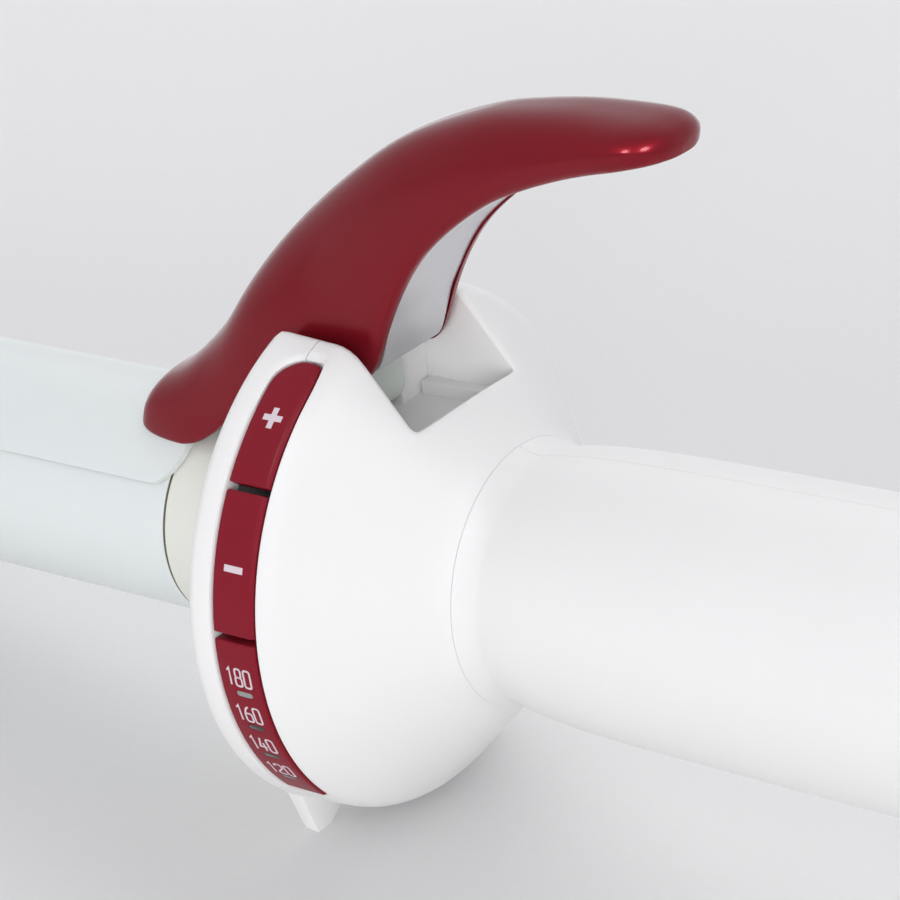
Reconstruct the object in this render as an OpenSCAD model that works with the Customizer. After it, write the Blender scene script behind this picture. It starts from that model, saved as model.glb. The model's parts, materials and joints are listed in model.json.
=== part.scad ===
// Curling iron: a heated barrel with a spring clamp plate, a thumb lever that lifts the plate,
// a round hub with two temperature keys and a scale, and a hollow handle with a swivelling cord
// gland. It lies as it is put down on a table, on its two feet and its cool tip.
// Every piece is drawn in the iron's own frame: X along the barrel towards the handle with zero
// at the rear edge of the key strip, and Z towards the lever. placed() then sets it on the table.

/* [Barrel] */
// Outside diameter of the heated barrel
barrel_d = 26.5; // [25:0.5:28]
// Length of the heated barrel tube
barrel_len = 138; // [120:1:170]
// Wall of the barrel tube
barrel_wall = 1.8; // [1.2:0.1:2.4]
// Bare collar between the barrel and the hub
collar_len = 18.2; // [17:0.1:24]
// Bore of the collar, where the leads pass
collar_bore = 17; // [12:0.5:18]
// Length of the cool tip past the barrel
tip_len = 18; // [14:0.5:26]
// Diameter of the cool tip
tip_d = 25.2; // [22:0.2:26]
// Rounding of the cool tip's end
tip_round = 5; // [2:0.5:7]

/* [Clamp] */
// Thickness of the clamp plate
clamp_t = 0.9; // [0.7:0.1:1.4]
// Width of the clamp plate, seen from above
clamp_w = 23.6; // [20:0.2:25]
// Corner radius of the clamp plate
clamp_corner = 3.5; // [2:0.5:8]
// How far the plate reaches over the collar
clamp_lap = 1.6; // [0.5:0.1:3]
// How far the plate stops short of the barrel's tip end
clamp_short = 4; // [1:0.5:12]
// Diameter of the rivets that hold the plate
rivet_d = 2; // [1.5:0.1:2.6]

/* [Hub] */
// Diameter of the hub at its rim
hub_d = 62; // [59:0.1:66]
// Fall in the hub's diameter from its rim to the rear edge of the key strip
hub_taper = 0.9; // [0:0.1:2]
// From the front face to the rear edge of the key strip
hub_front = 9.3; // [9:0.1:12]
// Wall of the hub shells
hub_wall = 2.2; // [1.8:0.1:2.6]
// Rounding of the rim
rim_round = 1.6; // [0.6:0.1:2]
// Rounding of the bell's shoulder
shoulder_round = 4.7; // [3.5:0.1:6]
// Angle of the bell's flank to the axis
bell_angle = 48.5; // [46:0.5:50]
// Seam between the shells, ahead of the strip's rear edge
seam_at = 3; // [2.5:0.1:3.5]
// Width of the seams between shells
seam_gap = 0.15; // [0.1:0.05:0.3]
// Diameter of the screws in the hub
hub_screw_d = 2.6; // [2:0.1:3]

/* [Lever pocket] */
// Width of the slot and pocket
slot_w = 19.2; // [17:0.2:21]
// Rear wall of the pocket, behind the strip's rear edge
pocket_back = 8.3; // [7.6:0.1:9]
// How far the pocket's rear wall bows back in the middle
pocket_bow = 1.1; // [0.6:0.1:1.4]
// Wall of the pocket
pocket_wall = 1.8; // [1.4:0.1:2.2]
// Height of the raised pad along the pocket's floor
pad_h = 1.2; // [0.6:0.1:1.6]
// Width of the raised pad
pad_w = 2.4; // [1.6:0.1:3]

/* [Lever] */
// Wall of the lever shell
lever_wall = 1.4; // [1.2:0.1:2]
// Gap between the lever and each side of the slot
lever_gap = 1.2; // [0.4:0.1:1.4]
// Squareness of the lever's section, 2 is an ellipse
lever_square = 2.7; // [2.2:0.1:3.5]
// Width of the hinge arm
arm_w = 8; // [7:0.5:9]
// Diameter of the pivot pin
pin_d = 3; // [2.4:0.1:3.4]
// Diameter of the hinge arm's boss
boss_d = 6.8; // [6.2:0.1:7.2]
// Thickness of the silver liner under the lever
liner_t = 1; // [0.8:0.1:1.2]
// Depth of the liner above the lever's lower edge
liner_in = 0.5; // [0.3:0.1:0.8]
// Wire of the torsion spring
spring_wire = 0.8; // [0.6:0.05:0.9]
// Coil diameter of the torsion spring, at the middle of the wire
spring_d = 4.8; // [4.6:0.1:5.4]
// Turns of the torsion spring, a whole number and a half
spring_turns = 2.5; // [1.5:1:2.5]

/* [Keys] */
// Width of the key strip along the barrel
strip_w = 5.75; // [5.2:0.05:6.2]
// Where the plus key starts, in degrees round the hub from the lever
plus_from = 25.5; // [24:0.5:28]
// Where the plus key ends and the minus key starts
minus_from = 55.1; // [52:0.1:58]
// Where the minus key ends and the scale panel starts
panel_from = 86.4; // [84:0.1:89]
// Where the scale panel ends
panel_to = 135; // [130:0.5:136]
// First window of the scale
window_from = 99.3; // [97:0.1:101]
// Angle from one window to the next
window_step = 9.05; // [8.5:0.05:9.5]
// Gap at the ends of each key
key_gap = 0.4; // [0.3:0.05:0.5]
// Gap along the sides of each key
key_side = 0.15; // [0.1:0.05:0.25]
// Travel of a key
key_travel = 0.6; // [0.3:0.05:0.8]
// Front rounding at the plus key's upper end
key_round = 3; // [1:0.1:3.2]
// Rear rounding at the plus key's upper end
key_round_rear = 1.2; // [0.6:0.1:2]

/* [Handle] */
// Diameter of the neck
neck_d = 29.2; // [28.8:0.1:30]
// Where the neck is slimmest, behind the key strip
neck_at = 18; // [17.6:0.1:19]
// Seam between the hub and the handle, ahead of the slimmest place
neck_seam = 3; // [2:0.1:4]
// Diameter that the grip swells to
grip_d = 32; // [31.6:0.1:33]
// Length over which the grip swells
grip_swell = 6; // [5:0.5:8]
// Growth of the grip's radius for each millimetre of length
grip_flare = 0.008; // [0:0.001:0.012]
// End of the handle, behind the key strip
handle_end = 118; // [116:1:130]
// Wall of the handle shells
handle_wall = 2; // [1.6:0.1:2.2]
// Rounding of the handle's end
end_round = 4; // [2:0.5:5]
// Diameter of the screws in the handle
handle_screw_d = 2.4; // [2:0.1:2.6]

/* [Electrics] */
// Thickness of the heater plate
heater_t = 4; // [3:0.1:5]
// Width of the heater plate
heater_w = 16; // [12:0.5:18]
// Thickness of the boards
board_t = 1.6; // [1.2:0.1:1.8]
// Width of the main board
board_w = 24; // [22:0.5:25]
// Length of the main board
board_len = 61; // [58:1:62]
// Diameter of the heater leads
lead_d = 2.2; // [1.6:0.1:2.6]
// Distance between the two leads
lead_pitch = 7; // [6:0.5:8]

/* [Stand] */
// How far the feet reach below the hub's rim
foot_reach = 0.25; // [0.1:0.05:3]
// Thickness of the feet along the iron
foot_t = 1.9; // [1.4:0.1:2.6]
// Distance over the outsides of the feet
foot_spread = 31.6; // [28:0.2:36]
// Width of each foot's flat across the iron
foot_w = 2.6; // [1.8:0.1:4]
// Rake of each foot's outer side from upright
foot_rake = 20; // [0:1:30]
// Slope of each foot's inner side
foot_slope = 28; // [20:1:40]

/* [Cord gland] */
// Bore for the cord
cord_bore = 7.2; // [6:0.1:7.6]
// Largest diameter of the gland outside the handle
gland_d = 19; // [18:0.5:22]
// Diameter of the gland's mouth
gland_mouth_d = 12.4; // [11:0.2:14]
// Length of the gland outside the handle
gland_len = 12.6; // [9:0.2:18]
// Diameter of the gland's neck in the handle's end wall
gland_neck_d = 15.8; // [14:0.2:16.4]
// Length of the spindle, from the handle's end
spindle_len = 19; // [18:0.5:24]
// Diameter of the spindle that carries the slip rings
spindle_d = 10.4; // [10:0.1:10.8]
// Height of a slip ring above the spindle
ring_h = 1.2; // [0.8:0.1:1.4]

/* [Hidden] */

$fn = 96;

// Clearances: pieces of one body, a turning fit, and bodies that move past each other
fit_gap = 0.05;
run_gap = 0.05;
move_gap = 0.3;
// Reach of a cutting block past what it cuts
past = 1;
big = 400;

// Colours
warm_white = [0.94, 0.93, 0.91];
barrel_white = [0.90, 0.93, 0.92];
cream = [0.90, 0.87, 0.78];
wine_red = [0.50, 0.10, 0.16];
silver = [0.78, 0.78, 0.79];
steel = [0.66, 0.66, 0.68];
brass = [0.78, 0.62, 0.30];
copper = [0.72, 0.45, 0.25];
ceramic_white = [0.92, 0.92, 0.90];
board_green = [0.10, 0.36, 0.22];
charcoal = [0.16, 0.16, 0.17];
lamp_clear = [0.80, 0.82, 0.84];

// Barrel and clamp radii, and the places along the barrel
barrel_r = barrel_d / 2;
barrel_in_r = barrel_r - barrel_wall;
plug_r = barrel_in_r - fit_gap;
face_x = -hub_front;
barrel_x = face_x - collar_len - seam_gap;
barrel_tip_x = barrel_x - barrel_len;
tip_end_x = barrel_tip_x - tip_len;
clamp_in_r = barrel_r + move_gap;
clamp_out_r = clamp_in_r + clamp_t;
clamp_x = barrel_x + clamp_lap;
clamp_tip_x = barrel_tip_x + clamp_short;
plug_len = 10.5;
tip_hollow_r = plug_r - 2.4;

// Hub
hub_r = hub_d / 2;
hub_rear_r = (hub_d - hub_taper) / 2;
hub_in_r = hub_rear_r - hub_wall;
seam_x = -seam_at;
face_in_x = face_x + hub_wall;
shoulder_x = -1.2;
shoulder_c = [shoulder_x, hub_rear_r - shoulder_round];
neck_r = neck_d / 2;
neck_seam_x = neck_at - neck_seam;
// Where the straight flank leaves the shoulder, and the hollow that carries it into the neck
flank = shoulder_c + shoulder_round * [sin(bell_angle), cos(bell_angle)];
hollow_r = (flank[1] - neck_r - tan(bell_angle) * (neck_at - flank[0]))
    / (1 - cos(bell_angle) - tan(bell_angle) * sin(bell_angle));
hollow_c = [neck_at, neck_r + hollow_r];

// Spigot of the hub inside the handle's neck
spigot_r = neck_r - handle_wall - 2 * fit_gap;
spigot_in_r = spigot_r - 1.7;
spigot_lip = 0.5;
spigot_lip_w = 2;
spigot_x = neck_at + 6;
web_x = neck_seam_x - 2.8;

// Lever pocket and pivot
slot_half = slot_w / 2;
floor_z = barrel_r + move_gap;
floor_top = floor_z + pocket_wall;
pin_r = pin_d / 2;
lug_r = pin_r + 1.7;
boss_r = boss_d / 2;
pivot_x = seam_x - seam_gap - lug_r;
pivot_z = floor_top + move_gap + boss_r;
pin_end = slot_half + pocket_wall + move_gap;

// Lever knots, from the front lobe to the thumb paddle's tip. Each row gives the lower edge and
// the crown, across from the hub's seam and up from the top of the clamp plate, and the share of
// the full half width there.
LEVER_KNOTS = [
    [-30.6, -1.3, -31.3,  0.6, 0.67],
    [-30.2, -1.9, -28.9,  3.6, 0.90],
    [-25.2, -2.7, -24.8,  5.9, 1.00],
    [-19.5, -1.2, -18.5, 11.9, 1.00],
    [-11.0,  6.4, -14.9, 16.8, 0.99],
    [ -2.5,  9.0, -10.9, 21.4, 0.96],
    [  3.6,  8.8,  -6.0, 26.0, 0.92],
    [  7.2, 16.7,   0.0, 30.6, 0.88],
    [ 12.2, 24.6,   7.6, 35.4, 0.86],
    [ 20.0, 30.9,  17.1, 39.1, 0.86],
    [ 25.2, 33.5,  23.0, 40.3, 0.86],
    [ 30.2, 35.3,  28.8, 40.9, 0.87],
    [ 34.2, 36.5,  33.4, 40.9, 0.88],
    [ 37.2, 37.0,  36.7, 40.6, 0.87],
    [ 39.2, 37.2,  38.9, 40.3, 0.80],
    [ 40.6, 37.3,  40.4, 39.8, 0.66],
    [ 41.4, 37.4,  41.3, 39.2, 0.49],
    [ 41.8, 37.4,  41.8, 38.6, 0.30]
];
lever_half = slot_half - lever_gap;
lever_stations = 64;
lever_ring = 20;
seat_r = clamp_out_r + fit_gap;

// Keys and scale
strip_x = -strip_w;
plus_mid = (plus_from + minus_from) / 2;
minus_mid = (minus_from + panel_from) / 2;
key_in_r = hub_in_r;
key_corner = 0.3;
key_lip = 0.8;
stem_r = 1.6;
board_front_x = 0.4;
switch_top_r = key_in_r - 4.2;
switch_w = 4.6;
switch_h = 3;
plunger_h = 0.8;
// The plus key's stem and switch sit in its middle, or further round where the pocket needs the room
switch_low_r = switch_top_r - switch_h;
wall_clear_y = slot_half + pocket_wall + move_gap;
plus_stem = max(plus_mid, asin(wall_clear_y / norm([switch_low_r, switch_w / 2]))
    + atan2(switch_w / 2, switch_low_r));
stem_in_r = switch_top_r + plunger_h + key_travel + move_gap;
windows = 4;
window_w = 1.1;
window_h = 2.2;
lamp_top_r = key_in_r - 4;
lamp_h = 1.4;
guide_t = hub_rear_r - 0.1;

// Handle
handle_bore_r = neck_r - handle_wall;
end_wall = 2.5;
screw_z = 8.5;
screw_front = 12;
screw_rear = 26;
head_lap = 1.1;
handle_screw_x = [neck_at + screw_front, handle_end - screw_rear];
handle_boss_r = handle_screw_d / 2 + 1.8;
board_top_z = -lead_d / 2 - 1.9;
spindle_x = handle_end - spindle_len;
board_clear = 2;
board_x = spindle_x - board_clear - board_len;
rail_h = 1.5;
// What stands along the main board, in order and spread evenly over its length
board_edge = 2;
terminal_len = 5;
can_len = 16;
coil_len = 15;
triac_len = 4.5;
fuse_r = 2.5;
fuse_edge = 3;
parts_len = board_edge + terminal_len + can_len + coil_len + triac_len + 2 * fuse_r + fuse_edge;
parts_gap = (board_len - parts_len) / 4;
terminal_x = board_x + board_edge;
can_x = terminal_x + terminal_len + parts_gap;
coil_x = can_x + can_len + parts_gap;
triac_x = coil_x + coil_len + parts_gap;
fuse_x = triac_x + triac_len + parts_gap + fuse_r;

// Stand: the table touches the feet and the rounded end of the cool tip
foot_inset = 0.2;
foot_drop = hub_r + foot_reach;
foot = [face_x + foot_inset + foot_t / 2, -foot_drop];
tip_ball = [tip_end_x + tip_round, tip_round - tip_d / 2];
stand = foot - tip_ball;
rest_tilt = -atan2(stand[1], stand[0]) - asin(tip_round / norm(stand));
rest_lift = -(foot[0] * sin(rest_tilt) + foot[1] * cos(rest_tilt));
gland_end_x = handle_end + gland_len + move_gap;
low_x = tip_ball[0] * cos(rest_tilt) + tip_ball[1] * sin(rest_tilt) - tip_round;
high_x = gland_end_x * cos(rest_tilt) + gland_mouth_d / 2 * sin(rest_tilt);

// Sets a piece from the iron's own frame down on the table, centred along its length
module placed() {
    translate([-(low_x + high_x) / 2, 0, rest_lift])
        rotate([0, -rest_tilt, 0])
            children();
}

// Everything below the table, in the iron's own frame
module table_block() {
    rotate([0, rest_tilt, 0])
        translate([-big / 2, -big / 2, -rest_lift - big])
            cube([big, big, big]);
}

// Points on an arc about c, from angle a0 to a1
function arc(c, r, a0, a1, n = 10) =
    [for (i = [0:n]) let (a = a0 + (a1 - a0) * i / n) c + r * [cos(a), sin(a)]];

// A smooth curve through the rows of k, with t counted in rows
function blend_row(p0, p1, p2, p3, u) =
    (2 * p1 + (p2 - p0) * u + (2 * p0 - 5 * p1 + 4 * p2 - p3) * u * u
        + (3 * p1 - p0 - 3 * p2 + p3) * u * u * u) / 2;
function spline(k, t) =
    let (n = len(k) - 1, i = min(floor(t), n - 1))
    blend_row(k[max(i - 1, 0)], k[i], k[i + 1], k[min(i + 2, n)], t - i);

// Turns a profile of [x, radius] points about the barrel's axis
module revolve(profile) {
    rotate([0, 90, 0])
        rotate_extrude()
            polygon([for (p = profile) [p[1], p[0]]]);
}

// A round bar or a tube along the barrel's axis
module bar(x0, x1, r) {
    translate([x0, 0, 0])
        rotate([0, 90, 0])
            cylinder(h = x1 - x0, r = r);
}
module tube(x0, x1, r, r_in) {
    difference() {
        bar(x0, x1, r);
        bar(x0 - past, x1 + past, r_in);
    }
}

// A round bar across the iron
module cross_bar(x, z, y0, y1, r) {
    translate([x, y1, z])
        rotate([90, 0, 0])
            cylinder(h = y1 - y0, r = r);
}

// A block from corner to corner
module block(low, high) {
    translate(low)
        cube(high - low);
}

// Turns children round the hub, from the lever towards the keys
module round_hub(a) {
    rotate([a, 0, 0])
        children();
}

// A sector of a ring about the barrel's axis
module sector(x0, x1, r0, r1, a0, a1) {
    rotate([0, 90, 0])
        rotate([0, 0, a0 + 180])
            rotate_extrude(angle = a1 - a0)
                translate([r0, x0])
                    square([r1 - r0, x1 - x0]);
}

// Angle that an arc length takes at the hub's surface
function hub_angle(length) = length / hub_rear_r * 180 / PI;

// Barrel

module barrel_tube() {
    color(barrel_white) placed()
        tube(barrel_tip_x, barrel_x, barrel_r, barrel_in_r);
}

module tip_cap() {
    tip_r = tip_d / 2;
    base_x = barrel_tip_x - seam_gap;
    color(warm_white) placed()
        difference() {
            union() {
                revolve(concat(
                    [[base_x, 0], [base_x, tip_r]],
                    arc([tip_end_x + tip_round, tip_r - tip_round], tip_round, 90, 180),
                    [[tip_end_x, 0]]));
                bar(base_x - past, barrel_tip_x + plug_len, plug_r);
            }
            bar(tip_end_x + tip_round, barrel_tip_x + plug_len + past, tip_hollow_r);
        }
}

module barrel_collar() {
    flange_x = face_in_x + fit_gap;
    flange_r = barrel_r + 3.2;
    color(cream) placed()
        difference() {
            union() {
                bar(barrel_x + seam_gap, flange_x + past, barrel_r);
                bar(barrel_x - plug_len, barrel_x + seam_gap + past, plug_r);
                difference() {
                    bar(flange_x, flange_x + hub_wall, flange_r);
                    block([face_x, -flange_r, floor_z - move_gap], [0, flange_r, flange_r + past]);
                }
            }
            bar(barrel_x - plug_len - past, 0, collar_bore / 2);
        }
}

// Heater inside the barrel

heater_x = barrel_x - plug_len - 3.8;
heater_tip_x = barrel_tip_x + plug_len + 4;
sensor_d = 2.5;
sensor_in = 9.5;
sensor_z = -(heater_t / 2 + plug_r) / 2;

module heat_spreader(side) {
    flat_z = heater_t / 2 + fit_gap;
    difference() {
        bar(heater_tip_x, heater_x, plug_r);
        mirror([0, 0, side < 0 ? 1 : 0])
            block([heater_tip_x - past, -barrel_r, -barrel_r], [heater_x + past, barrel_r, flat_z]);
    }
}

module heat_spreader_upper() {
    color(steel) placed()
        heat_spreader(1);
}

module heat_spreader_lower() {
    color(steel) placed()
        difference() {
            heat_spreader(-1);
            translate([0, 0, sensor_z])
                bar(heater_x - sensor_in - fit_gap, heater_x + past, sensor_d / 2 + fit_gap);
        }
}

module heater_plate() {
    color(ceramic_white) placed()
        block([heater_tip_x, -heater_w / 2, -heater_t / 2], [heater_x, heater_w / 2, heater_t / 2]);
}

module thermistor() {
    color(charcoal) placed()
        translate([0, 0, sensor_z])
            bar(heater_x - sensor_in, heater_x + 2.5, sensor_d / 2);
}

// Leads from the heater through the hub to the terminals on the main board

terminal_w = 4.4;

module heater_leads() {
    color(copper) placed()
        for (side = [-1, 1])
            translate([0, side * lead_pitch / 2, 0])
                bar(heater_x + fit_gap, terminal_x + terminal_len - past, lead_d / 2);
}

module lead_terminals() {
    color(brass) placed()
        for (side = [-1, 1])
            translate([0, side * lead_pitch / 2, 0])
                difference() {
                    block([terminal_x, -terminal_w / 2, board_top_z],
                        [terminal_x + terminal_len, terminal_w / 2, lead_d / 2 + 1]);
                    bar(terminal_x - past, terminal_x + terminal_len - past + fit_gap,
                        lead_d / 2 + fit_gap);
                }
}

// Hub

// Outside of the hub from the rim to the neck, and the same drawn in by the wall
function bell_profile(inset) = concat(
    arc(shoulder_c, shoulder_round - inset, 90, 90 - bell_angle),
    arc(hollow_c, hollow_r + inset, 270 - bell_angle, 270));
function rim_profile() = concat(
    arc([face_x + rim_round, hub_r - rim_round], rim_round, 180, 90),
    [[shoulder_x, hub_rear_r]]);

// The hub as one solid, from the front face to the slimmest place of the neck
module hub_solid() {
    revolve(concat([[face_x, 0]], rim_profile(), bell_profile(0), [[neck_at, 0]]));
}

// The whole slot and pocket for the lever, with its rear wall bowed
module lever_room() {
    bow_r = (slot_half * slot_half + pocket_bow * pocket_bow) / (2 * pocket_bow);
    intersection() {
        block([face_x - past, -slot_half, floor_top], [pocket_back + pocket_bow + past, slot_half, big]);
        translate([pocket_back + pocket_bow - bow_r, 0, 0])
            cylinder(h = big, r = bow_r);
    }
}

// Outline of a key laid flat, X along the barrel and Y up towards the lever
module key_outline(width, length, round_front, round_rear) {
    w = width / 2;
    l = length / 2;
    polygon(concat(
        [[-w, -l], [w, -l]],
        arc([w - round_rear, l - round_rear], round_rear, 0, 90, 6),
        arc([round_front - w, l - round_front], round_front, 90, 180, 6)));
}

// A stretch of the key strip between two angles, with its upper end rounded
module strip_piece(from, to, r0, r1, side_gap, round_front, round_rear) {
    length = 2 * hub_rear_r * tan((to - from) / 2);
    intersection() {
        sector(strip_x + side_gap, -side_gap, r0, r1, from, to);
        round_hub((from + to) / 2)
            translate([strip_x / 2, 0, 0])
                linear_extrude(hub_r + 2 * past)
                    key_outline(strip_w - 2 * side_gap, length, round_front, round_rear);
    }
}

// Opening for the keys and the scale in both hub shells, rounded like the plus key's upper end
module strip_window() {
    length = 2 * hub_rear_r * tan((minus_from - plus_from) / 2);
    difference() {
        sector(strip_x, 0, key_in_r - past, hub_r + past, plus_from, panel_to);
        round_hub(plus_mid)
            translate([strip_x / 2, 0, 0])
                linear_extrude(hub_r + 2 * past)
                    difference() {
                        translate([-strip_w, length / 2 - key_round])
                            square([2 * strip_w, key_round + past]);
                        key_outline(strip_w, length, key_round, key_round_rear);
                    }
    }
}

// Screws that pull the hub shells together: where they sit round the axis
hub_screw_angles = [-65, -130, 152];
hub_screw_at_r = 22;
hub_screw_r = hub_screw_d / 2;
screw_head_r = hub_screw_r + head_lap;
screw_head_h = 1.9;
hub_boss_r = screw_head_r + 1;
hub_screw_len = 12;

module at_hub_screws() {
    for (a = hub_screw_angles)
        round_hub(a)
            translate([0, 0, hub_screw_at_r])
                children();
}

module hub_screws() {
    color(steel) placed()
        at_hub_screws() {
            bar(face_x + fit_gap, face_x + fit_gap + screw_head_h, screw_head_r);
            bar(face_x + past, face_x + hub_screw_len, hub_screw_r);
        }
}

// One stand foot: raked outside, a narrow flat, and an inner side that slopes up to the rim
module stand_foot(side) {
    out_y = foot_spread / 2;
    flat_y = out_y - foot_w;
    root_z = -hub_in_r * cos(asin(out_y / hub_in_r));
    root_y = flat_y - (foot_drop + root_z) / tan(foot_slope);
    mirror([0, side < 0 ? 1 : 0, 0])
        translate([face_x + foot_inset, 0, 0])
            rotate([90, 0, 90])
                linear_extrude(foot_t)
                    polygon([
                        [root_y, root_z], [out_y + (foot_drop + root_z) * tan(foot_rake), root_z],
                        [out_y, -foot_drop], [out_y, -foot_drop - past],
                        [flat_y, -foot_drop - past], [flat_y, -foot_drop]
                    ]);
}

// Walls and floor of the lever pocket, with the lugs that hold the pivot pin
module pocket_walls() {
    intersection() {
        hub_solid();
        union() {
            block([face_x, -slot_half - pocket_wall, floor_z],
                [pocket_back + pocket_bow + pocket_wall, slot_half + pocket_wall, hub_r]);
            cross_bar(pivot_x, pivot_z, -pin_end, pin_end, lug_r);
        }
    }
}

// The slot, the pin's bore and the key strip, cut through both shells
module hub_cuts() {
    lever_room();
    strip_window();
    cross_bar(pivot_x, pivot_z, -pin_end - past, pin_end + past, pin_r + fit_gap);
}

module hub_front_shell() {
    color(warm_white) placed()
        difference() {
            union() {
                intersection() {
                    union() {
                        difference() {
                            hub_solid();
                            bar(face_in_x, big, hub_in_r);
                        }
                        pocket_walls();
                        at_hub_screws()
                            bar(face_x + past, big, hub_boss_r);
                    }
                    bar(face_x - past, seam_x - seam_gap / 2, hub_r + past);
                }
                for (side = [-1, 1])
                    difference() {
                        stand_foot(side);
                        bar(face_x, 0, hub_in_r);
                    }
            }
            bar(face_x - past, 0, barrel_r + fit_gap);
            hub_cuts();
            at_hub_screws() {
                bar(face_x - past, face_x + screw_head_h + 2 * fit_gap, screw_head_r + fit_gap);
                bar(face_x, 0, hub_screw_r + fit_gap);
            }
            table_block();
        }
}

// Posts on the bell's inside that carry the ring-shaped board
post_angles = [60, 119];
post_at_r = 18.5;
post_r = 2;

module hub_rear_shell() {
    board_back_x = board_front_x + board_t;
    color(warm_white) placed()
        difference() {
            union() {
                intersection() {
                    union() {
                        difference() {
                            hub_solid();
                            intersection() {
                                revolve(concat([[face_x, 0], [face_x, hub_in_r]],
                                    bell_profile(hub_wall), [[neck_at, 0]]));
                                bar(face_x, web_x, hub_r);
                            }
                        }
                        pocket_walls();
                    }
                    bar(seam_x + seam_gap / 2, neck_seam_x - seam_gap / 2, hub_r + past);
                }
                // spigot that the handle closes on
                bar(web_x, spigot_x, spigot_r);
                bar(spigot_x - spigot_lip_w, spigot_x, spigot_r + spigot_lip);
                // screw posts and board posts
                intersection() {
                    hub_solid();
                    union() {
                        at_hub_screws()
                            bar(seam_x + seam_gap / 2, face_x + hub_screw_len + 3, hub_boss_r);
                        for (a = post_angles)
                            round_hub(a)
                                translate([0, 0, post_at_r])
                                    bar(board_back_x, web_x - 2, post_r);
                    }
                }
            }
            difference() {
                hub_cuts();
                block([seam_x, slot_half - pad_w, floor_z],
                    [pocket_back + past, slot_half + past, floor_top + pad_h]);
            }
            bar(face_x, spigot_x + past, spigot_in_r);
            at_hub_screws()
                bar(face_x, face_x + hub_screw_len + 2 * fit_gap, hub_screw_r + fit_gap);
        }
}

// Keys, scale and their electronics

// A key between two angles: a curved cap in the strip, a lip that holds it under the front
// shell, and a stem that reaches towards its switch
module strip_key(from, to, stem_at, round_front, round_rear) {
    centre_x = strip_x / 2;
    lip_in = hub_angle(key_round + key_lip);
    strip_piece(from, to, key_in_r, hub_rear_r, key_side, round_front, round_rear);
    sector(strip_x - key_lip, centre_x - past, key_in_r - 1, key_in_r - move_gap,
        from + lip_in, to - lip_in);
    sector(strip_x + key_side + fit_gap, centre_x, key_in_r - 1 + fit_gap, key_in_r + past / 2,
        from + lip_in, to - lip_in);
    round_hub(stem_at)
        translate([centre_x, 0, stem_in_r])
            cylinder(h = key_in_r + past / 2 - stem_in_r, r = stem_r);
}

module plus_key() {
    color(wine_red) placed()
        strip_key(plus_from + hub_angle(key_gap), minus_from - hub_angle(key_gap), plus_stem,
            key_round, key_round_rear);
}

module minus_key() {
    color(wine_red) placed()
        strip_key(minus_from + hub_angle(key_gap), panel_from - hub_angle(key_gap), minus_mid,
            key_corner, key_corner);
}

module at_windows() {
    for (i = [0:windows - 1])
        round_hub(window_from + i * window_step)
            translate([strip_x / 2, 0, 0])
                children();
}

module scale_panel() {
    color(wine_red) placed()
        difference() {
            sector(strip_x + fit_gap, -fit_gap, key_in_r, hub_rear_r,
                panel_from + hub_angle(key_gap), panel_to - hub_angle(fit_gap));
            at_windows()
                block([-window_h / 2, -window_w / 2, 0], [window_h / 2, window_w / 2, hub_r + past]);
        }
}

module light_guides() {
    color(lamp_clear) placed()
        at_windows()
            block([fit_gap - window_h / 2, fit_gap - window_w / 2, lamp_top_r + fit_gap],
                [window_h / 2 - fit_gap, window_w / 2 - fit_gap, guide_t]);
}

module indicator_lights() {
    color(ceramic_white) placed()
        at_windows()
            block([-window_h / 2, -window_w / 2, lamp_top_r - lamp_h],
                [board_front_x - strip_x / 2, window_w / 2, lamp_top_r]);
}

module control_board() {
    out_r = hub_in_r - 3.1;
    in_r = post_at_r - post_r - 1;
    color(board_green) placed()
        difference() {
            sector(board_front_x, board_front_x + board_t - fit_gap, in_r, out_r,
                plus_from, panel_to + 6);
            block([-big, -wall_clear_y, 0], [big, wall_clear_y, big]);
        }
}

module key_switches() {
    color(charcoal) placed()
        for (a = [plus_stem, minus_mid])
            round_hub(a)
                translate([strip_x / 2, 0, 0]) {
                    block([-2, -switch_w / 2, switch_low_r],
                        [board_front_x - strip_x / 2, switch_w / 2, switch_top_r]);
                    translate([0, 0, switch_top_r - past])
                        cylinder(h = plunger_h + past, r = 0.9);
                }
}

// Lever, its hinge and the clamp

module pivot_pin() {
    color(steel) placed()
        cross_bar(pivot_x, pivot_z, -pin_end, pin_end, pin_r);
}

// Route of the torsion spring: a leg on the pocket floor, the coil, a leg beside the arm
spring_r = spring_d / 2;
wire_r = spring_wire / 2;
spring_pitch = spring_wire + 0.45;
spring_y = arm_w / 2 + move_gap + wire_r;
spring_leg = 5.5;
spring_steps = 8;
spring_route = concat(
    [[spring_leg, spring_y + spring_turns * spring_pitch, floor_top + wire_r + fit_gap - pivot_z]],
    [for (i = [0:spring_turns * spring_steps])
        let (a = -90 - 360 * i / spring_steps)
        [spring_r * cos(a), spring_y + (spring_turns - i / spring_steps) * spring_pitch,
            spring_r * sin(a)]],
    [[spring_leg - 2, spring_y, spring_r]]);
// Least gap between one turn and the next, measured along the coil
spring_gap = min([for (i = [1:len(spring_route) - 2])
    for (j = [i + spring_steps - 2:1:len(spring_route) - 2])
        norm(spring_route[i] - spring_route[j])]) - spring_wire;
echo(spring_gap = spring_gap);

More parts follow.
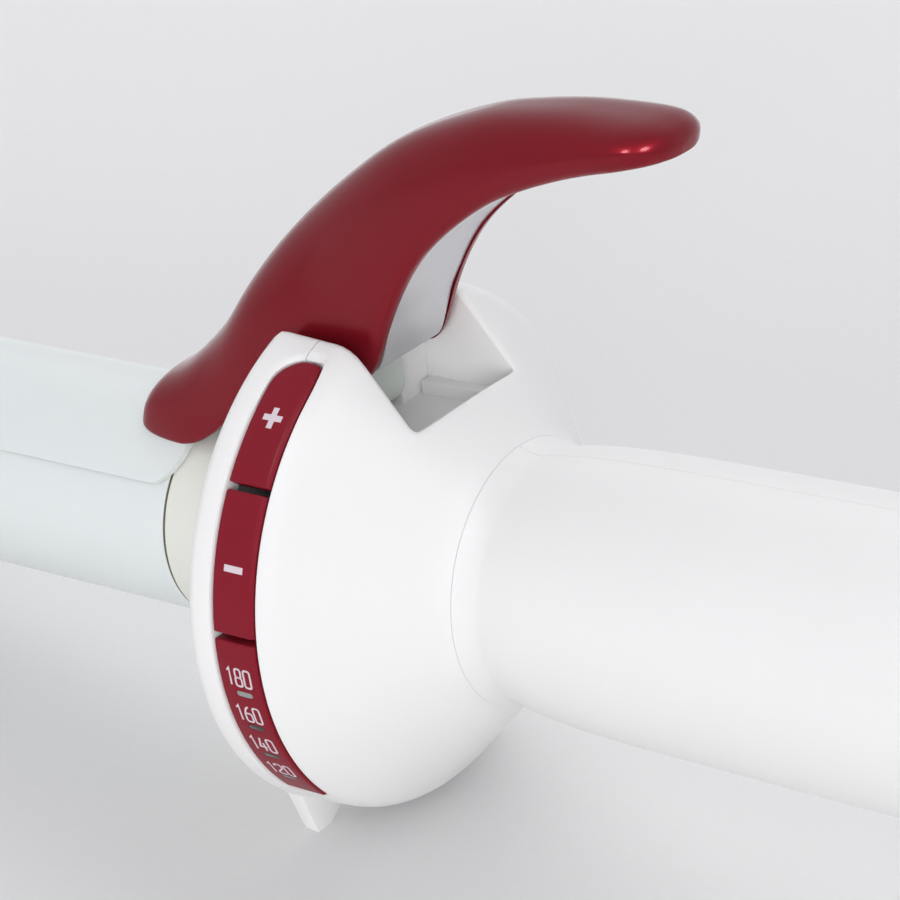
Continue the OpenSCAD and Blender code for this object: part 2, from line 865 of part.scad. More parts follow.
// A tube of six sides along a list of points
module wire(points, r) {
    n = len(points);
    sides = 6;
    function along(i) = let (d = points[min(i + 1, n - 1)] - points[max(i - 1, 0)]) d / norm(d);
    function across(i) = let (c = cross(along(i), [0, 1, 0])) c / norm(c);
    rings = [for (i = [0:n - 1]) let (u = across(i), v = cross(along(i), u))
        for (s = [0:sides - 1]) points[i] + r * (cos(s * 60) * u + sin(s * 60) * v)];
    walls = [for (i = [0:n - 2]) for (s = [0:sides - 1])
        let (a = i * sides + s, b = i * sides + (s + 1) % sides)
        each [[a, b + sides, b], [a, a + sides, b + sides]]];
    polyhedron(rings, concat(walls, [[for (s = [0:sides - 1]) s]],
        [[for (s = [0:sides - 1]) n * sides - 1 - s]]));
}

module torsion_spring() {
    color(steel) placed()
        translate([pivot_x, 0, pivot_z])
            mirror([0, 1, 0])
                wire(spring_route, wire_r);
}

// Height of the clamp plate's seat at a distance from the middle
function seat_z(y) = sqrt(seat_r * seat_r - y * y);

// One section of the lever: the lower edge, the direction up to the crown, and both half widths
function lever_row(t) = spline(LEVER_KNOTS, t);
function lever_x(t) = seam_x + lever_row(t)[0];
function on_clamp(t) = lever_x(t) < clamp_x + 1;
function lever_width(t) = lever_half * lever_row(t)[4];
function lever_edge(t) =
    let (z = clamp_out_r + lever_row(t)[1])
    [lever_x(t), on_clamp(t) ? max(z, seat_z(lever_width(t))) : z];
function lever_crown(t) = [seam_x + lever_row(t)[2], clamp_out_r + lever_row(t)[3]];

// Points of one section, from one lower edge over the crown to the other. The inner section is
// drawn in by the wall and lifted where it stands on the clamp plate.
function lever_section(t, inner) =
    let (edge = lever_edge(t),
        rise = lever_crown(t) - edge,
        up = rise / norm(rise),
        wide = lever_width(t),
        half = inner ? max(wide - lever_wall, wide / 2) : wide,
        lift = inner && on_clamp(t) ? max(0, seat_z(half) - edge[1]) : 0,
        least = on_clamp(t) ? seat_r + fit_gap - edge[1] - lift : 0.2 * norm(rise),
        high = inner ? max(norm(rise) - lever_wall - lift, least) : norm(rise))
    [for (s = [0:lever_ring])
        let (a = 180 * s / lever_ring,
            c = cos(a),
            y = half * sign(c) * pow(abs(c), 2 / lever_square),
            v = lift + high * pow(max(0, sin(a)), 2 / lever_square))
        [edge[0] + up[0] * v, y, edge[1] + up[1] * v]];

// The hollow stops short of the paddle's tip, so the last rows of the inner section lie closer
lever_last = len(LEVER_KNOTS) - 1;
tip_rows = 5;
tip_share = 0.4;
function inner_row(t) = let (past_row = t - lever_last + tip_rows)
    past_row < 0 ? t : t - past_row * (1 - tip_share);

module lever_shell() {
    m = lever_ring + 1;
    n = lever_stations + 1;
    times = [for (i = [0:lever_stations]) lever_last * i / lever_stations];
    points = concat(
        [for (t = times) each lever_section(t, false)],
        [for (t = times) each lever_section(inner_row(t), true)]);
    inside = n * m;
    tip = (n - 1) * m;
    function quad(a, b, c, d) = [[a, c, b], [a, d, c]];
    skin = [for (i = [0:n - 2]) for (s = [0:m - 2]) let (a = i * m + s)
        each quad(a, a + 1, a + m + 1, a + m)];
    cavity = [for (f = skin) [f[0] + inside, f[2] + inside, f[1] + inside]];
    edges = [for (i = [0:n - 2]) let (a = i * m, b = a + m - 1)
        each concat(quad(a, a + m, a + m + inside, a + inside),
            quad(b, b + inside, b + m + inside, b + m))];
    front = [for (a = [0:m - 2]) each quad(a, a + inside, a + 1 + inside, a + 1)];
    tip_cap = [for (s = [1:m - 2]) [tip, tip + s + 1, tip + s]];
    hollow_end = [for (f = tip_cap) [f[0] + inside, f[2] + inside, f[1] + inside]];
    tip_under = quad(tip, tip + m - 1, tip + m - 1 + inside, tip + inside);
    color(wine_red) placed()
        polyhedron(points, concat(skin, cavity, edges, front, tip_cap, hollow_end, tip_under));
}

// Side view of the hinge arm: a tongue on the clamp plate, a web, and a boss round the pin
tongue_len = 5.4;
arm_tongue_x = clamp_x - tongue_len;
arm_clear_z = floor_top + 2 * move_gap;

module lever_arm() {
    tongue_t = 1.6;
    color(warm_white) placed()
        difference() {
            rotate([90, 0, 0])
                linear_extrude(arm_w, center = true) {
                    polygon([
                        [arm_tongue_x, clamp_out_r - tongue_t], [clamp_x + past, clamp_out_r - tongue_t],
                        [face_x, arm_clear_z], [pivot_x, pivot_z - boss_r],
                        [pivot_x + boss_r, pivot_z], [pivot_x + boss_r - 0.6, pivot_z + 7],
                        [pivot_x - 4, pivot_z + 11], [pivot_x - 11.5, pivot_z + 6.5],
                        [pivot_x - 19.5, clamp_out_r + 5], [arm_tongue_x, clamp_out_r + tongue_t]
                    ]);
                    translate([pivot_x, pivot_z])
                        circle(boss_r);
                }
            bar(barrel_tip_x, clamp_x + fit_gap, clamp_out_r);
            bar(clamp_x, face_x, clamp_out_r);
            cross_bar(pivot_x, pivot_z, -arm_w, arm_w, pin_r + run_gap);
            at_rivets()
                cylinder(h = clamp_out_r + rivet_grip + fit_gap, r = rivet_d / 2 + fit_gap);
        }
}

// Liner that closes the underside of the lever, bent along the lower edge
liner_from = 6.15;
liner_to = 12.3;
liner_steps = 30;
// Share of the lever's full width along the paddle, and the gap beside the liner
paddle_share = 0.86;
liner_side = 0.6;

module lever_liner() {
    half = lever_half * paddle_share - lever_wall - liner_side;
    times = [for (i = [0:liner_steps]) liner_from + (liner_to - liner_from) * i / liner_steps];
    function at_depth(t, d) = let (r = lever_crown(t) - lever_edge(t)) lever_edge(t) + d * r / norm(r);
    low = [for (t = times) at_depth(t, liner_in)];
    high = [for (i = [0:liner_steps]) at_depth(times[liner_steps - i], liner_in + liner_t)];
    color(silver) placed()
        rotate([90, 0, 0])
            linear_extrude(2 * half, center = true)
                polygon(concat(low, high));
}

// Clamp plate: a strip of tube with rounded corners, and the rivets through it

module clamp_plate() {
    long = clamp_x - clamp_tip_x;
    color(barrel_white) placed()
        difference() {
            intersection() {
                tube(clamp_tip_x, clamp_x, clamp_out_r, clamp_in_r);
                translate([clamp_tip_x + clamp_corner, clamp_corner - clamp_w / 2, 0])
                    linear_extrude(big)
                        union() {
                            for (x = [0, long - 2 * clamp_corner], y = [0, clamp_w - 2 * clamp_corner])
                                translate([x, y])
                                    circle(clamp_corner);
                            translate([-clamp_corner, 0])
                                square([long, clamp_w - 2 * clamp_corner]);
                            translate([0, -clamp_corner])
                                square([long - 2 * clamp_corner, clamp_w]);
                        }
            }
            at_rivets()
                cylinder(h = big, r = rivet_d / 2 + fit_gap);
        }
}

rivet_grip = 1.5;

module at_rivets() {
    for (side = [-1, 1])
        translate([(arm_tongue_x + clamp_x) / 2, side * (arm_w / 4 + 0.2), 0])
            children();
}

module clamp_rivets() {
    color(steel) placed()
        difference() {
            at_rivets()
                cylinder(h = clamp_out_r + rivet_grip, r = rivet_d / 2);
            bar(barrel_tip_x, 0, clamp_in_r);
        }
}

// Handle

function handle_r(x) =
    neck_r + (grip_d - neck_d) / 2 * (1 - exp(-(x - neck_at) / grip_swell)) + grip_flare * (x - neck_at);
swell_len = 30;
swell_x = [for (i = [0:11]) neck_at + swell_len * i / 11];
function grip_profile(inset) = [for (x = swell_x) [x, handle_r(x) - inset]];

module handle_solid() {
    end_r = handle_r(handle_end) - end_round;
    seam_angle = asin((neck_at - neck_seam_x - seam_gap / 2) / hollow_r);
    revolve(concat(
        [[neck_seam_x + seam_gap / 2, 0]],
        arc(hollow_c, hollow_r, 270 - seam_angle, 270, 4),
        grip_profile(0),
        arc([handle_end - end_round, end_r], end_round, 90, 0),
        [[handle_end, 0]]));
}

// The hollow of the handle, up to its end wall
module handle_room() {
    room_end_x = handle_end - end_wall;
    revolve(concat(
        [[0, 0], [0, handle_bore_r]],
        grip_profile(handle_wall),
        [[handle_end - end_round, handle_r(handle_end) - handle_wall],
            [room_end_x, handle_r(handle_end) - handle_wall - end_round / 2], [room_end_x, 0]]));
}

// One half of the handle: side 1 is the plain half, side -1 the half below the keys
module handle_half(side) {
    rail_x0 = board_x + 6;
    rail_x1 = board_x + board_len - 6;
    rail_y = board_w / 2 - 1.5;
    rail_z = board_top_z - board_t - fit_gap;
    intersection() {
        handle_solid();
        difference() {
            union() {
                difference() {
                    bar(0, big, big / 8);
                    handle_room();
                    bar(handle_end - end_wall - past, big, gland_neck_d / 2 + move_gap);
                }
                for (x = handle_screw_x)
                    cross_bar(x, screw_z, -grip_d, grip_d, handle_boss_r);
                for (y = [-1, 1])
                    mirror([0, y < 0 ? 1 : 0, 0])
                        block([rail_x0, rail_y, rail_z - rail_h], [rail_x1, grip_d, rail_z]);
            }
            mirror([0, side > 0 ? 0 : 1, 0])
                block([-big, -big, -big], [big, seam_gap / 2, big]);
        }
    }
}

// The screws go in from the plain side, with their heads sunk below the surface
screw_sink = 6.5;
screw_sink_y = grip_d / 2 - screw_sink;
screw_tip_y = -8;

module screw_holes() {
    for (x = handle_screw_x) {
        cross_bar(x, screw_z, screw_tip_y - fit_gap, grip_d, handle_screw_d / 2 + fit_gap);
        cross_bar(x, screw_z, screw_sink_y, grip_d, handle_screw_d / 2 + head_lap + fit_gap);
    }
}

module handle_left_shell() {
    color(warm_white) placed()
        difference() {
            handle_half(1);
            screw_holes();
        }
}

module handle_right_shell() {
    color(warm_white) placed()
        difference() {
            handle_half(-1);
            screw_holes();
        }
}

module handle_screws() {
    head_h = 1.8;
    color(steel) placed()
        for (x = handle_screw_x) {
            cross_bar(x, screw_z, screw_tip_y, screw_sink_y + past, handle_screw_d / 2);
            cross_bar(x, screw_z, screw_sink_y + fit_gap, screw_sink_y + head_h,
                handle_screw_d / 2 + head_lap);
        }
}

// Boards and what stands on the main board

module main_board() {
    color(board_green) placed()
        block([board_x, -board_w / 2, board_top_z - board_t],
            [board_x + board_len, board_w / 2, board_top_z]);
}

module filter_capacitor() {
    can_r = 5;
    color([0.20, 0.24, 0.40]) placed()
        translate([0, 4.5, board_top_z + can_r])
            bar(can_x, can_x + can_len, can_r);
}

module board_transformer() {
    color([0.85, 0.75, 0.30]) placed()
        block([coil_x, -7, board_top_z], [coil_x + coil_len, 7, board_top_z + 10.5]);
}

module power_triac() {
    color(charcoal) placed()
        block([triac_x, -5, board_top_z], [triac_x + triac_len, 5, board_top_z + 8]);
}

module board_fuse() {
    color(lamp_clear) placed()
        cross_bar(fuse_x, board_top_z + fuse_r, -9, 9, fuse_r);
}

// Swivelling gland with its slip rings, and the brushes that touch them

gland_flange_w = 3.2;
gland_flange_lap = 2.6;
gland_rim_w = 2.6;
ring_w = 2.5;
ring_inset = 2;
ring_pitch = 4.5;
ring_x = [spindle_x + ring_inset, spindle_x + ring_inset + ring_pitch];
ring_r = spindle_d / 2 + ring_h;

module cord_gland() {
    wall_in_x = handle_end - end_wall - move_gap;
    head_x = handle_end + move_gap;
    flange_r = gland_neck_d / 2 + gland_flange_lap;
    color(warm_white) placed()
        difference() {
            union() {
                bar(spindle_x, wall_in_x, spindle_d / 2);
                bar(wall_in_x - gland_flange_w, wall_in_x, flange_r);
                bar(wall_in_x - past, head_x + past, gland_neck_d / 2);
                revolve([[head_x, 0], [head_x, gland_d / 2], [head_x + gland_rim_w, gland_d / 2],
                    [gland_end_x, gland_mouth_d / 2], [gland_end_x, 0]]);
            }
            bar(spindle_x - past, gland_end_x + past, cord_bore / 2);
        }
}

module slip_rings() {
    color(brass) placed()
        for (x = ring_x)
            tube(x, x + ring_w, ring_r, spindle_d / 2 + fit_gap);
}

brush_h = 2.6;

module contact_brushes() {
    color(copper) placed()
        for (x = ring_x)
            block([x + 0.4, -1.5, -ring_r - move_gap - brush_h],
                [x + ring_w - 0.4, 1.5, -ring_r - move_gap]);
}

module brush_holder() {
    top_z = -ring_r - move_gap - brush_h;
    color(charcoal) placed()
        intersection() {
            block([spindle_x + 0.5, -6, -grip_d / 2], [spindle_x + 10.5, 6, top_z]);
            bar(spindle_x, handle_end, handle_r(spindle_x) - handle_wall - 4 * fit_gap);
        }
}

barrel_tube();
tip_cap();
barrel_collar();
heat_spreader_upper();
heat_spreader_lower();
heater_plate();
thermistor();
heater_leads();
lead_terminals();
hub_front_shell();
hub_rear_shell();
hub_screws();
scale_panel();
light_guides();
indicator_lights();
control_board();
key_switches();
plus_key();
minus_key();
pivot_pin();
torsion_spring();
lever_shell();
lever_arm();
lever_liner();
clamp_plate();
clamp_rivets();
handle_left_shell();
handle_right_shell();
handle_screws();
main_board();
filter_capacitor();
board_transformer();
power_triac();
board_fuse();
cord_gland();
slip_rings();
brush_holder();
contact_brushes();
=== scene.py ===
"""Looks of a curling iron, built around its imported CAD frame."""

import json
import logging
import math
from dataclasses import dataclass
from enum import Enum
from typing import Any, Callable, Sequence

import bpy
from mathutils import Matrix, Vector


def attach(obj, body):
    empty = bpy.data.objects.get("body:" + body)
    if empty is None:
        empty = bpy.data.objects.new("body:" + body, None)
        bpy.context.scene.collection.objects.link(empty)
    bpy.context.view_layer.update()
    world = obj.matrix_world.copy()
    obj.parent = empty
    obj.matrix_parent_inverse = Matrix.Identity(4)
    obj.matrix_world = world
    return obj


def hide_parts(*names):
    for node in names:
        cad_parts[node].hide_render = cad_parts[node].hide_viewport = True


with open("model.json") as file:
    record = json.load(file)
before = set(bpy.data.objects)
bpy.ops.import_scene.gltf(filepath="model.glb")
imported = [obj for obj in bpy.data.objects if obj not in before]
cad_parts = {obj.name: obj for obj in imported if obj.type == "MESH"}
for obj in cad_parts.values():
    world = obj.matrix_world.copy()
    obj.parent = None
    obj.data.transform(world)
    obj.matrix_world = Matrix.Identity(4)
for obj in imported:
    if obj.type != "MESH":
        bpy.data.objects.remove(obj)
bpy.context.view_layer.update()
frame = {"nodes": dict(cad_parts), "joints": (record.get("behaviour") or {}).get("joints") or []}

log = logging.getLogger("curling_iron")

Point = tuple[float, float]
Triple = tuple[float, float, float]
Outline = Sequence[Point]
Piece = bpy.types.Object

MM = 0.001
MERGE = 2e-6
HOLE_SIDES = 24

# Sizes that several sub-assemblies share, in mm in the iron's own frame.
PIVOT = (-6.35, 0.0, 19.05)
HUB_FACE = -9.3
HUB_SEAM = -3.0
BELL_RADIUS = 30.55
BELL_WALL = 2.2
NECK_RADIUS = 14.6
NECK_X = 18.0
NECK_SEAM = 15.0
NECK_GAP = 0.06


class Body(Enum):
    """The bodies that pieces ride on."""

    IRON = "iron"
    LEVER = "lever"
    PLUS = "plus_key"
    MINUS = "minus_key"
    GLAND = "gland"


class Cut(Enum):
    """What a tool does to a piece."""

    AWAY = "DIFFERENCE"
    ONTO = "UNION"
    COMMON = "INTERSECT"


def iron_matrix(pivot: Vector) -> Matrix:
    """Gives the iron's own frame, with X along the barrel towards the handle and Z towards the lever.

    Args:
        pivot: the lever's pivot in the iron's own frame, in metres.

    Returns:
        The matrix from the iron's own frame to the row frame.
    """
    joints = {joint["name"]: joint for joint in frame["joints"]}
    along = Vector(joints["gland_swivel"]["axis"]).normalized()
    across = Vector((0, 1, 0))
    turn = Matrix((along, across, along.cross(across))).transposed().to_4x4()
    turn.translation = Vector(joints["lever_press"]["pos_m"]) - turn @ pivot
    return turn


IRON = iron_matrix(Vector(PIVOT) * MM)


def mm(x: float, y: float, z: float) -> Vector:
    """Gives a place in metres from its coordinates in mm."""
    return Vector((x, y, z)) * MM


def arc(centre: Point, radius: float, start: float, end: float, count: int) -> list[Point]:
    """Gives points on an arc.

    Args:
        centre: the arc's centre.
        radius: its radius.
        start: the first angle in degrees.
        end: the last angle in degrees.
        count: how many steps lie between them.

    Returns:
        The points, both ends included.
    """
    angles = [math.radians(start + (end - start) * i / count) for i in range(count + 1)]
    return [(centre[0] + radius * math.cos(a), centre[1] + radius * math.sin(a)) for a in angles]


def hole(centre: Point, radius: float) -> list[Point]:
    """Gives the points round a drilled hole."""
    return arc(centre, radius, 0, 360 - 360 / HOLE_SIDES, HOLE_SIDES - 1)


def drawn_in(radius: float, distance: float) -> float:
    """Gives how far a corner of a radius draws a side in, at a distance from its end."""
    left = max(0.0, radius - distance)
    return radius - math.sqrt(max(0.0, radius ** 2 - left ** 2))


def round_hub(x: float, angle: float, radius: float) -> Vector:
    """Gives a point round the barrel's axis.

    Args:
        x: place along the barrel in mm.
        angle: degrees from the lever towards the keys.
        radius: distance from the axis in mm.

    Returns:
        The point in the iron's own frame, in metres.
    """
    a = math.radians(angle)
    return mm(x, -radius * math.sin(a), radius * math.cos(a))


class Bench:
    """Modelling moves on one object at a time, as they are done by hand."""

    @staticmethod
    def free() -> None:
        """Goes to object mode with nothing selected."""
        if bpy.context.object and bpy.context.object.mode != "OBJECT":
            bpy.ops.object.mode_set(mode="OBJECT")
        bpy.ops.object.select_all(action="DESELECT")

    @staticmethod
    def hold(piece: Piece) -> None:
        """Selects one piece alone and makes it the active one.

        Args:
            piece: the piece to hold.
        """
        Bench.free()
        piece.select_set(True)
        bpy.context.view_layer.objects.active = piece

    @staticmethod
    def edit(piece: Piece) -> None:
        """Opens a piece in edit mode with all of it selected.

        Args:
            piece: the piece to open.
        """
        Bench.hold(piece)
        bpy.ops.object.mode_set(mode="EDIT")
        bpy.ops.mesh.select_mode(type="VERT")
        bpy.ops.mesh.select_all(action="SELECT")

    @staticmethod
    def outward() -> None:
        """Turns all faces outwards and leaves edit mode."""
        bpy.ops.mesh.select_all(action="SELECT")
        bpy.ops.mesh.normals_make_consistent(inside=False)
        bpy.ops.object.mode_set(mode="OBJECT")

    @staticmethod
    def named(name: str, places: Sequence[Vector]) -> Piece:
        """Names the new primitive and moves each of its points to its place.

        Args:
            name: the piece's name.
            places: one place for each point, in metres.

        Returns:
            The piece.
        """
        piece = bpy.context.object
        piece.name = piece.data.name = name
        piece.data.vertices.foreach_set("co", [c for place in places for c in place])
        piece.data.update()
        return piece

    @staticmethod
    def loop(name: str, places: Sequence[Vector]) -> Piece:
        """Makes a closed loop of edges from a circle.

        Args:
            name: the piece's name.
            places: the loop's points in metres.

        Returns:
            The loop.
        """
        Bench.free()
        bpy.ops.mesh.primitive_circle_add(vertices=len(places), radius=MM)
        return Bench.named(name, places)

    @staticmethod
    def turned(name: str, outline: Outline, steps: int = 160) -> Piece:
        """Turns a closed outline about the barrel's axis.

        Args:
            name: the piece's name.
            outline: points of (place along the barrel, radius) in mm.
            steps: faces round the axis.

        Returns:
            The turned piece.
        """
        piece = Bench.loop(name, [mm(x, 0, r) for x, r in outline])
        Bench.edit(piece)
        bpy.ops.mesh.spin(steps=steps, angle=2 * math.pi, center=(0, 0, 0), axis=(1, 0, 0))
        bpy.ops.mesh.select_all(action="SELECT")
        bpy.ops.mesh.remove_doubles(threshold=MERGE)
        Bench.outward()
        return piece

    @staticmethod
    def sheet(name: str, rows: Sequence[Sequence[Vector]]) -> Piece:
        """Lays a grid over rows of points.

        Args:
            name: the piece's name.
            rows: rows of points in metres, all of one length.

        Returns:
            The sheet.
        """
        Bench.free()
        bpy.ops.mesh.primitive_grid_add(
            x_subdivisions=len(rows[0]) - 1, y_subdivisions=len(rows) - 1, size=MM)
        return Bench.named(name, [place for row in rows for place in row])

    @staticmethod
    def lofted(name: str, rows: Sequence[Sequence[Vector]]) -> Piece:
        """Builds a closed solid over sections.

        Args:
            name: the piece's name.
            rows: the sections in metres, each once round and all with as many points.

        Returns:
            The solid, with its ends filled and its faces outwards.
        """
        piece = Bench.sheet(name, [[*row, row[0]] for row in rows])
        Bench.edit(piece)
        bpy.ops.mesh.remove_doubles(threshold=MERGE)
        bpy.ops.mesh.select_all(action="DESELECT")
        bpy.ops.mesh.select_non_manifold(
            use_wire=False, use_multi_face=False, use_non_contiguous=False, use_verts=False)
        bpy.ops.mesh.fill_holes(sides=0)
        Bench.outward()
        return piece

    @staticmethod
    def extruded(name: str, places: Sequence[Vector], step: Vector) -> Piece:
        """Fills a loop and pulls it out into a block.

        Args:
            name: the piece's name.
            places: the loop's points in metres.
            step: how far the face is pulled, in metres.

        Returns:
            The block.
        """
        piece = Bench.loop(name, places)
        Bench.edit(piece)
        bpy.ops.mesh.edge_face_add()
        bpy.ops.mesh.extrude_region_move(TRANSFORM_OT_translate={"value": step})
        Bench.outward()
        return piece

    @staticmethod
    def bar(name: str, start: float, length: float, sides: Point, heights: Point) -> Piece:
        """Builds a square bar along the barrel, in mm.

        Args:
            name: the piece's name.
            start: the place along the barrel where it starts.
            length: its length.
            sides: where it starts and ends across the iron.
            heights: its lower and upper face.

        Returns:
            The bar.
        """
        (near, far), (low, high) = sides, heights
        corners = [(near, low), (far, low), (far, high), (near, high)]
        return Bench.extruded(name, [mm(start, y, z) for y, z in corners], mm(length, 0, 0))

    @staticmethod
    def modify(piece: Piece, kind: str, **settings: Any) -> None:
        """Adds a modifier and applies it.

        Args:
            piece: the piece to change.
            kind: the modifier's type.
            settings: its settings by name.
        """
        Bench.hold(piece)
        modifier = piece.modifiers.new(kind.title(), kind)
        for name, value in settings.items():
            setattr(modifier, name, value)
        bpy.ops.object.modifier_apply(modifier=modifier.name)

    @staticmethod
    def soften(piece: Piece, width: float, segments: int = 3, angle: float = 40) -> None:
        """Rounds by a width in mm the edges that are sharper than an angle in degrees."""
        Bench.modify(piece, "BEVEL", width=width * MM, segments=segments, limit_method="ANGLE",
                     angle_limit=math.radians(angle))

    @staticmethod
    def cut(piece: Piece, tool: Piece, how: Cut = Cut.AWAY) -> None:
        """Cuts, joins or crosses a piece with a tool, which is then gone."""
        Bench.modify(piece, "BOOLEAN", object=tool, operation=how.value, solver="EXACT")
        bpy.data.objects.remove(tool)

    @staticmethod
    def copy(piece: Piece, name: str) -> Piece:
        """Copies a piece.

        Args:
            piece: the piece to copy.
            name: the copy's name.

        Returns:
            The copy, with a mesh of its own.
        """
        Bench.hold(piece)
        bpy.ops.object.duplicate(linked=False)
        twin = bpy.context.object
        twin.name = twin.data.name = name
        return twin

    @staticmethod
    def slice(piece: Piece, at: Vector, facing: Vector, reach: float = 0.4) -> None:
        """Cuts away what lies in front of a plane.

        Args:
            piece: the piece to cut.
            at: a point on the plane.
            facing: the direction of what goes.
            reach: how far the cut goes, in metres.
        """
        side = facing.orthogonal().normalized() * reach
        other = facing.normalized().cross(side)
        corners = [at + side + other, at - side + other, at - side - other, at + side - other]
        Bench.cut(piece, Bench.extruded("slice_block", corners, facing.normalized() * reach))

    @staticmethod
    def join(name: str, pieces: Sequence[Piece]) -> Piece:
        """Joins pieces into one object.

        Args:
            name: the object's name.
            pieces: the pieces, of which the first takes in the others.

        Returns:
            The object.
        """
        Bench.hold(pieces[0])
        for piece in pieces:
            piece.select_set(True)
        bpy.ops.object.join()
        pieces[0].name = pieces[0].data.name = name
        return pieces[0]

    @staticmethod
    def place(piece: Piece) -> None:
        """Puts a piece into the row frame, with its place in its mesh.

        Args:
            piece: a piece drawn in the iron's own frame.
        """
        Bench.hold(piece)
        piece.matrix_world = IRON
        bpy.ops.object.transform_apply(location=True, rotation=True, scale=True)


class Field:
    """A shader socket that takes part in Python sums."""

    def __init__(self, tree: bpy.types.NodeTree, socket: bpy.types.NodeSocket) -> None:
        """Wraps a socket of a tree."""
        self.tree = tree
        self.socket = socket

    def _sum(self, operation: str, other: Any) -> "Field":
        """Adds a Math node.

        Args:
            operation: the node's operation.
            other: the second value, a number or a field.

        Returns:
            The node's result.
        """
        node = self.tree.nodes.new("ShaderNodeMath")
        node.operation = operation
        for socket, value in zip(node.inputs, (self, other)):
            feed(value, socket)
        return Field(self.tree, node.outputs[0])

    def __add__(self, other: Any) -> "Field":
        """Adds."""
        return self._sum("ADD", other)

    __radd__ = __add__

    def __mul__(self, other: Any) -> "Field":
        """Multiplies."""
        return self._sum("MULTIPLY", other)

    __rmul__ = __mul__

    def __gt__(self, other: Any) -> "Field":
        """Gives 1 where it is greater, and 0 elsewhere."""
        return self._sum("GREATER_THAN", other)


def feed(value: Any, socket: bpy.types.NodeSocket) -> None:
    """Links a field to a socket, or sets a plain value on it.

    Args:
        value: a field, a number, a colour or a vector.
        socket: the socket that takes it.
    """
    if isinstance(value, Field):
        value.tree.links.new(value.socket, socket)
    else:
        socket.default_value = value


class Recipe:
    """One procedural material with a principled shader."""

    NOISE_ROUGHNESS = 0.55

    def __init__(self, name: str) -> None:
        """Makes the material.

        Args:
            name: the material's name.
        """
        self.material = bpy.data.materials.new(name)
        self.material.use_nodes = True
        self.tree = self.material.node_tree
        self.shader = self.tree.nodes["Principled BSDF"]

    def node(self, kind: str, output: int | str = 0, settings: dict[str, Any] | None = None,
             **inputs: Any) -> Field:
        """Adds a node.

        Args:
            kind: the node's type without its first word.
            output: the output to use.
            settings: the node's own settings, set before its sockets.
            inputs: values or fields by socket name, with _ for a space.

        Returns:
            The output as a field.
        """
        made = self.tree.nodes.new("ShaderNode" + kind)
        for name, value in (settings or {}).items():
            setattr(made, name, value)
        for name, value in inputs.items():
            wanted = name.replace("_", " ")
            feed(value, next(s for s in made.inputs if s.name == wanted and s.enabled))
        return Field(self.tree, made.outputs[output])

    def set(self, **inputs: Any) -> None:
        """Sets or links the principled shader's sockets, with _ for a space."""
        for name, value in inputs.items():
            feed(value, self.shader.inputs[name.replace("_", " ")])

    def noise(self, size: float, detail: float = 2) -> Field:
        """Gives noise over the piece.

        Args:
            size: about how wide its cells are, in mm.
            detail: how many finer layers it has.

        Returns:
            The noise, from 0 to 1.
        """
        place = self.node("TexCoord", output="Object")
        place = self.node("Mapping", Vector=place, Scale=[1 / (size * MM)] * 3)
        return self.node("TexNoise", Vector=place, Scale=1.0, Detail=detail,
                         Roughness=self.NOISE_ROUGHNESS)

    def mix(self, share: Field, first: Any, second: Any) -> Field:
        """Mixes two colours by a field."""
        return self.node("Mix", output=2, settings={"data_type": "RGBA"}, Factor=share, A=first, B=second)


def shade(colour: Sequence[float], factor: float) -> tuple[float, ...]:
    """Scales a colour, kept at or below white, and adds its alpha."""
    return (*(min(1.0, c * factor) for c in colour), 1)


@dataclass(frozen=True)
class Finish:
    """One finish of the iron: its colour, gloss, mottling and grain, with sizes in mm."""

    name: str
    slot: str
    colour: Triple
    roughness: float
    metallic: float = 0.0
    coat: float = 0.0
    coat_roughness: float = 0.15
    coat_ior: float = 1.5
    mottle: float = 0.03
    mottle_size: float = 9.0
    grain: float = 0.02
    grain_size: float = 0.25
    grain_detail: float = 3
    grain_height: float = 0.2
    cloud_share: float = 0.65
    grain_share: float = 0.35
    wear: float = 0.12
    flake: float = 0.0
    flake_size: float = 0.08
    flake_over: float = 0.68
    flake_light: float = 2.6
    sheen: float = 0.5
    clear: float = 0.0

    def material(self) -> bpy.types.Material:
        """Gives the finish's material, made on first use."""
        return bpy.data.materials.get(self.name) or self.make()

    def make(self) -> bpy.types.Material:
        """Builds the finish's nodes.

        Returns:
            The material.
        """
        recipe = Recipe(self.name)
        cloud = recipe.noise(self.mottle_size)
        grain = recipe.noise(self.grain_size, self.grain_detail)
        share = cloud * self.cloud_share + grain * self.grain_share
        dark, light = shade(self.colour, 1 - self.mottle), shade(self.colour, 1 + self.mottle)
        colour = recipe.mix(share, dark, light)
        if self.flake:
            spark = (recipe.noise(self.flake_size, 0) > self.flake_over) * self.flake
            colour = recipe.mix(spark, colour, shade(self.colour, self.flake_light))
        bump = recipe.node("Bump", Strength=self.grain, Distance=self.grain_height * MM, Height=grain)
        recipe.set(Base_Color=colour, Metallic=self.metallic, Normal=bump,
                   Roughness=self.roughness - self.wear / 2 + share * self.wear,
                   Coat_Weight=self.coat, Coat_Roughness=self.coat_roughness, Coat_IOR=self.coat_ior,
                   Transmission_Weight=self.clear, Specular_IOR_Level=self.sheen)
        return recipe.material


